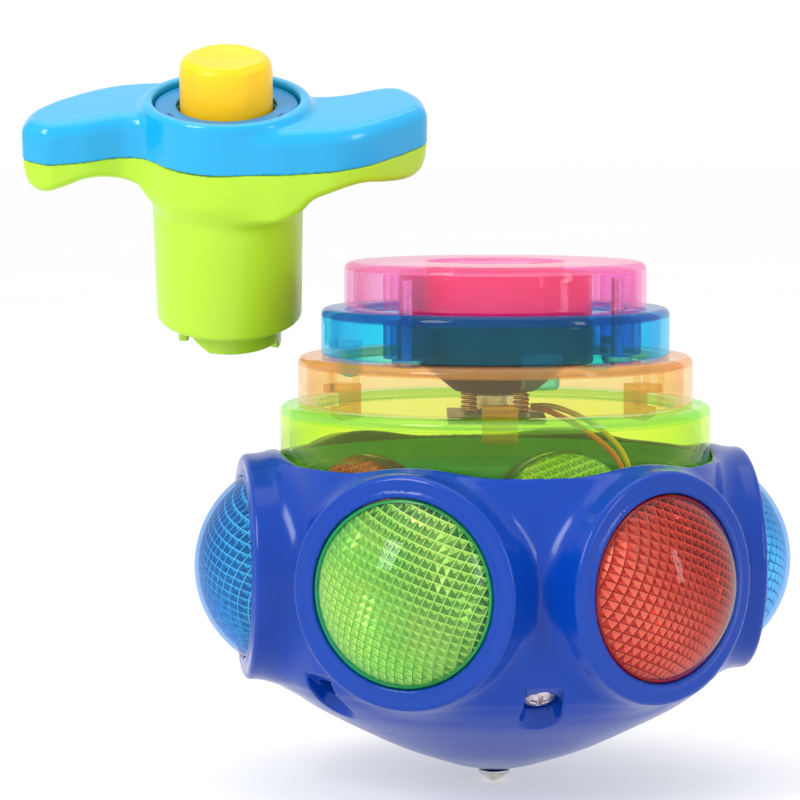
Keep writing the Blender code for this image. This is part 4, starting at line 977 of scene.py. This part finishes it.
def cross_head(name, frame_m, r, z_top, depth, shank, tail, stands_for, body="top"):
    """A pan head with a cross recess, by distance field, over a plain shank."""
    def f(X, Y, Z):
        R = np.sqrt(X * X + Y * Y)
        dome = z_top - 0.10 * R * R
        s = both(R - r, Z - dome, 0.35)
        s = np.maximum(s, (z_top - depth) - Z)
        w = 0.42 + 0.12 * np.clip((Z - z_top) / 1.0, -1, 0)
        slotx = np.maximum(np.abs(Y) - w, np.abs(X) - 1.55)
        sloty = np.maximum(np.abs(X) - w, np.abs(Y) - 1.55)
        cross = np.maximum(np.minimum(slotx, sloty), (z_top - 1.1) - Z)
        s = smax(s, -cross, 0.12)
        return np.minimum(s, np.maximum(R - shank, np.maximum(tail - Z, Z - (z_top - depth + 0.1))))
    field_mesh(name, f, (-r - 0.5, -r - 0.5, tail - 0.4), (r + 0.5, r + 0.5, z_top + 0.5), 0.13, [M_STEEL], body, "steel", stands_for, M=frame_m)


for n, i in enumerate((0, 2, 4)):
    cross_head("shell_screw_%d" % (n + 1), radial(SCREW_AZ0 + PITCH * i, WELL_S[1], WELL_TILT, WELL_S[0]), 2.95, -1.3, 1.7, 1.1, -12.8, ("body_screw_%d" % (n + 1),))
cross_head("door_screw", COVER_M @ Matrix.Translation((0, 11.3, 0)), 2.1, 1.5, 0.75, 0.85, -7.6, ("battery_screw",))


# --------------------------------------------------------------- the launcher
PLAN_T = Table(spline(PLAN, 8, True), (-42.0, -22.0), (42.0, 22.0), 0.2)


def depth_poly():
    right = [(x, PART_Z - d) for x, d in spline(DEPTH, 5)]
    right += [(40.0, PART_Z + 0.5), (40.0, PART_Z + 6)]
    left = [(-x, z) for x, z in reversed(right)]
    return left + right[1:]


DEPTH_T = Table(depth_poly(), (-44.0, -24.0), (44.0, 0.0), 0.2)
HUB_T = Table([(0, -9.4)] + [(14.6, -9.4), (14.6, -14.6)] + spline([(14.6, -14.9), (14.35, -16.2), (13.75, -17.8), (13.35, -19.6), (13.28, -23.0), (12.98, TUBE_END + 1.0)], 5)
              + [(12.95, TUBE_END), (0, TUBE_END)], (-2.0, -48.0), (20.0, -5.0), 0.15)


def cover_top(X, Y, Z):
    R = np.sqrt(X * X + Y * Y)
    plan = PLAN_T(X, Y)
    crown = TOP_Z + 0.10 - 0.0006 * (X * X + Y * Y)
    s = both(plan, Z - crown, 2.5)
    ring = both(R - 14.9, Z, 0.95)
    s = umin(s, ring, 1.6)
    s = smax(s, -np.maximum(R - 12.9, -2.15 - Z), 0.7)
    s = smax(s, -(R - 8.6), 0.3)
    s = np.maximum(s, PART_Z - Z)
    return smax(s, -np.maximum(plan + 1.7, Z + 3.6), 0.4)


field_mesh("launcher_top", cover_top, (-38.5, -18.0, -10.0), (38.5, 18.0, 1.0), 0.4, [M_COVER], "launcher", "cover_blue", ("launcher_cover",), M=LM)


def shell_low(X, Y, Z):
    R = np.sqrt(X * X + Y * Y)
    plan = PLAN_T(X, Y)
    wing = both(plan + 0.12, DEPTH_T(X, Z), 1.6)
    wing = np.maximum(wing, Z - (PART_Z - 0.02))
    hub = HUB_T(R, Z)
    hub = both(hub, TUBE_END - Z, 0.9)
    s = umin(wing, hub, 2.2)
    s = np.maximum(s, Z - (PART_Z - 0.02))
    s = smax(s, -np.maximum(plan + 1.7, DEPTH_T(X, Z) + 1.8), 0.4)
    bore = np.interp(Z, (-21.4, -18.0, -15.2), (10.9, 11.2, 12.4))
    s = smax(s, -both(R - bore, np.maximum(Z + 5.0, -21.4 - Z), 0.5), 0.4)
    s = smax(s, -np.maximum(R - 10.95, Z + 23.1), 0.5)
    # spring seat on two posts that also hold the cross pin, and the shaft's hole
    s = np.minimum(s, both(np.abs(R - 4.65) - 1.65, np.abs(Z + 10.1) - 0.6, 0.2))
    post = np.maximum(np.maximum(np.abs(X) - 1.9, np.abs(np.abs(Y) - 5.0) - 1.1), np.maximum(Z + 10.2, -22.0 - Z))
    s = np.minimum(s, post)
    s = smax(s, -np.maximum(np.hypot(X, Z - PIN_Z) - 1.25, np.abs(Y) - 8.0), 0.1)
    s = smax(s, -np.maximum(R - 2.75, np.abs(Z + 22.0) - 4.0), 0.1)
    for x, y in ((-27.0, -0.9), (27.0, 2.2)):
        q = np.sqrt((X - x) ** 2 + (Y - y) ** 2)
        s = umin(s, np.maximum(np.maximum(q - 3.9, Z - (PART_Z - 0.4)), -13.2 - Z), 0.5)
        s = smax(s, -np.maximum(q - 3.0, Z + 11.6), 0.3)
        s = smax(s, -np.maximum(q - 1.6, Z + 5.0), 0.2)
    return s


field_mesh("launcher_bottom", shell_low, (-38.5, -18.0, -43.0), (38.5, 18.0, -8.4), 0.45, [M_LIME], "launcher", "lime_shell", ("launcher_shell",), M=LM)
turned("ring_disc", rounded([(12.6, -1.15), (12.6, -1.85), (8.8, -1.85), (8.8, -1.15)], [.25, .1, .1, .25], 4), 96, M_DISC, "launcher", "disc_blue", ("cover_disc",), M=LM)
# painted shade: two short dark teal arcs on the disc stand for small grooves; their darkness is painted shade
M_GROOVE_SHADE = plastic("groove_shade_teal", srgb(8, 70, 116), 0.5, 0.15, 0.1, 0.0)
for i, az in enumerate((-60.0, 61.0)):
    turned("ring_groove_shade_%d" % (i + 1), [(11.3, -1.12), (11.3, -1.3), (10.8, -1.3), (10.8, -1.12)], 10, M_GROOVE_SHADE, "launcher", "disc_blue", M=LM, a0=az - 4.5, a1=az + 4.5)
for i, (x, y) in enumerate(((-27.0, -0.9), (27.0, 2.2))):
    nm = ("left", "right")[i]
    at = LM @ Matrix.Translation((x, y, 0)) @ Matrix.Rotation(math.pi, 4, 'X')
    cross_head("wing_screw_fine_" + nm, at, 2.6, 13.1, 1.2, 1.1, 5.0, ("wing_screw_" + nm,), "launcher")

btn = rounded([(0, 6.75), (3.6, 7.0), (5.6, 7.6), (6.7, 7.75), (7.85, 6.7), (8.15, 4.9), (8.15, -3.9), (9.6, -3.9), (9.6, -5.6), (6.7, -5.6), (6.7, 5.2), (0, 5.2)],
              [0, 3, 1.6, .9, 1.0, 1.6, .2, .2, .2, .3, .6, 0], 8, False)


def fluted(a, r, z):
    """Four shallow flutes down the button's side, running out in its dish."""
    if z < -3.0 or r < 2.5:
        return r
    k = sum(math.exp(-(((math.degrees(a) - c + 180.0) % 360.0 - 180.0) / 11.0) ** 2) for c in (47.0, 133.0, 227.0, 313.0))
    return r - 0.42 * k * min((r - 2.5) / 4.0, 1.0)


turned("push_button", btn, 144, M_YELLOW, "button", "button_yellow", ("release_button",), M=LM, closed=False, shape=fluted)


def stem_field(X, Y, Z):
    """The button's stem, with the slot that the cross pin runs in."""
    s = both(np.hypot(X, Y) - 2.3, np.maximum(Z - 5.4, -14.8 - Z), 0.4)
    return smax(s, -np.maximum(np.abs(X) - 1.35, np.maximum(Z + 6.7, -13.3 - Z)), 0.1)


field_mesh("button_stem", stem_field, (-3.2, -3.2, -15.8), (3.2, 3.2, 6.4), 0.22, [M_YELLOW], "button", "button_yellow", (), M=LM)


def rotor_field(X, Y, Z):
    R = np.sqrt(X * X + Y * Y)
    az = (np.degrees(np.arctan2(X, -Y)) + 360.0) % 180.0          # both dogs alike
    flat, claw = TUBE_END - DOG_FLAT, TUBE_END - DOG_CLAW
    # 135..180 and 0..90 of each half turn carry the dog; 90..135 is open
    along = np.where(az >= 135.0, az - 135.0, az + 45.0)          # 0..135 along a dog
    low = np.where(along < 24, flat + 2.2 * (1 - along / 24.0), flat)
    low = low + (claw - flat) * np.clip((along - 114.0) / 4.0, 0, 1)
    low = np.where((az > 90) & (az < 135), TUBE_END + 0.1, low)
    wall = both(np.abs(R - 8.375) - 0.875, low - Z, 0.3)
    edge = np.minimum(np.abs(az - 90.0), np.abs(az - 135.0)) * np.pi / 180 * 8.4
    inside_gap = (az > 90) & (az < 135)
    side = np.where(inside_gap, edge, -edge)
    teeth = both(wall, np.where(Z < TUBE_END, side, -5.0), 0.3)
    teeth = np.maximum(teeth, Z + 36.3)
    disc = both(R - 10.3, np.abs(Z + 35.3) - 1.0, 0.3)
    return np.minimum(teeth, disc)


field_mesh("rotor_dogs", rotor_field, (-11.2, -11.2, -47.4), (11.2, 11.2, -33.6), 0.28, [M_LIME], "rotor", "lime_shell", ("rotor",), M=LM)
turned("rotor_shaft", rounded([(0, -19.6), (2.4, -19.6), (2.4, -20.2), (1.9, -20.2), (1.9, -21.25), (2.4, -21.25), (2.4, -34.4), (0, -34.4)], [0, .3, .05, .05, .05, .05, .2, 0], 3, False), 40,
       M_LIME, "rotor", "lime_shell", M=LM, closed=False)
pts = [(4.9 * math.cos(math.tau * k / 24), 4.9 * math.sin(math.tau * k / 24), -8.7 + 13.1 * k / 96) for k in range(97)]
coil = tube("button_coil", pts, 0.45, M_STEEL, "launcher", "steel", ("button_spring",), M=LM)
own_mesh(coil)
pts = [(6.4 * math.cos(math.tau * k / 24), 6.4 * math.sin(math.tau * k / 24), -33.4 + 9.4 * k / 96) for k in range(97)]
tube("wind_coil", pts, 0.55, M_STEEL, "launcher", "steel", ("mainspring",), M=LM)

# ------------------------------------------ CAD nodes that stay, in fine finish
FINISH = {"black_plastic": M_BLACK, "speaker_paper": M_PAPER, "board": M_BOARD, "steel": M_STEEL, "chrome": M_CHROME,
          "copper": M_COPPER, "led": M_LED, "wire_orange": M_WO, "wire_yellow": M_WY, "blue_shell": M_BLUE, "lime_shell": M_LIME}
SLOTS = {s["node"]: s["material_slot"] for s in frame["record"]["subparts"]}
for name, ob in frame["nodes"].items():
    if ob.hide_render:
        continue
    mat = FINISH.get(SLOTS[name], M_STEEL)
    ob.data.materials.clear()
    ob.data.materials.append(mat)

# --------------------------------------------------------- stage, light, camera
def stage_floor():
    mesh = bpy.data.meshes.new("floor")
    bm = bmesh.new()
    bmesh.ops.create_grid(bm, x_segments=8, y_segments=8, size=6.0)
    bm.to_mesh(mesh)
    bm.free()
    ob = bpy.data.objects.new("floor", mesh)
    ob.location = (0, 0, 0)
    bpy.context.scene.collection.objects.link(ob)
    mat, nt, out = nodes_of("pale_floor")
    b = nt.nodes.new("ShaderNodeBsdfPrincipled")
    nt.links.new(two_tone(nt, noise_tex(nt, 3.0).outputs["Fac"], (0.975, 0.975, 0.978, 1), (0.992, 0.992, 0.992, 1)), b.inputs["Base Color"])
    b.inputs["Roughness"].default_value = 0.55
    b.inputs["Specular IOR Level"].default_value = 0.2
    lift = nt.nodes.new("ShaderNodeEmission")          # softens the shadow to a pale grey
    lift.inputs["Strength"].default_value = 1.0
    mix = nt.nodes.new("ShaderNodeMixShader")
    mix.inputs["Fac"].default_value = 0.42
    nt.links.new(b.outputs[0], mix.inputs[1])
    nt.links.new(lift.outputs[0], mix.inputs[2])
    nt.links.new(mix.outputs[0], out.inputs["Surface"])
    mesh.materials.append(mat)


stage_floor()
world = bpy.data.worlds.new("studio")
bpy.context.scene.world = world
world.use_nodes = True
world.node_tree.nodes["Background"].inputs["Color"].default_value = (1.0, 1.0, 1.0, 1)
world.node_tree.nodes["Background"].inputs["Strength"].default_value = 1.0


def area(name, loc, target, size, power, size_y=None):
    data = bpy.data.lights.new(name, 'AREA')
    data.shape = 'RECTANGLE'
    data.size = size
    data.size_y = size_y or size
    data.energy = power
    ob = bpy.data.objects.new(name, data)
    ob.location = loc
    ob.rotation_euler = (Vector(target) - Vector(loc)).to_track_quat('-Z', 'Y').to_euler()
    bpy.context.scene.collection.objects.link(ob)
    return ob


area("key_left", (-0.40, -0.42, 0.44), (0, 0, 0.06), 0.20, 2.3, 0.34)
area("fill_right", (0.50, -0.36, 0.24), (0, 0, 0.05), 0.08, 0.6, 0.32)
area("top_soft", (0.0, 0.05, 0.70), (0, 0, 0.05), 0.6, 1.3)

cam = bpy.data.cameras.new("camera")
cam.sensor_width = 36.0
cam.lens = 3483.77 / 800.0 * 36.0
cam.clip_start, cam.clip_end = 0.05, 50.0
cam_ob = bpy.data.objects.new("camera", cam)
cam_ob.location = (-0.016841, -0.615226, 0.121005)
cam_ob.rotation_euler = (math.radians(90.0) - 0.0856, 0.0, 0.0)
bpy.context.scene.collection.objects.link(cam_ob)
bpy.context.scene.camera = cam_ob
bpy.context.scene.view_settings.view_transform = 'Standard'
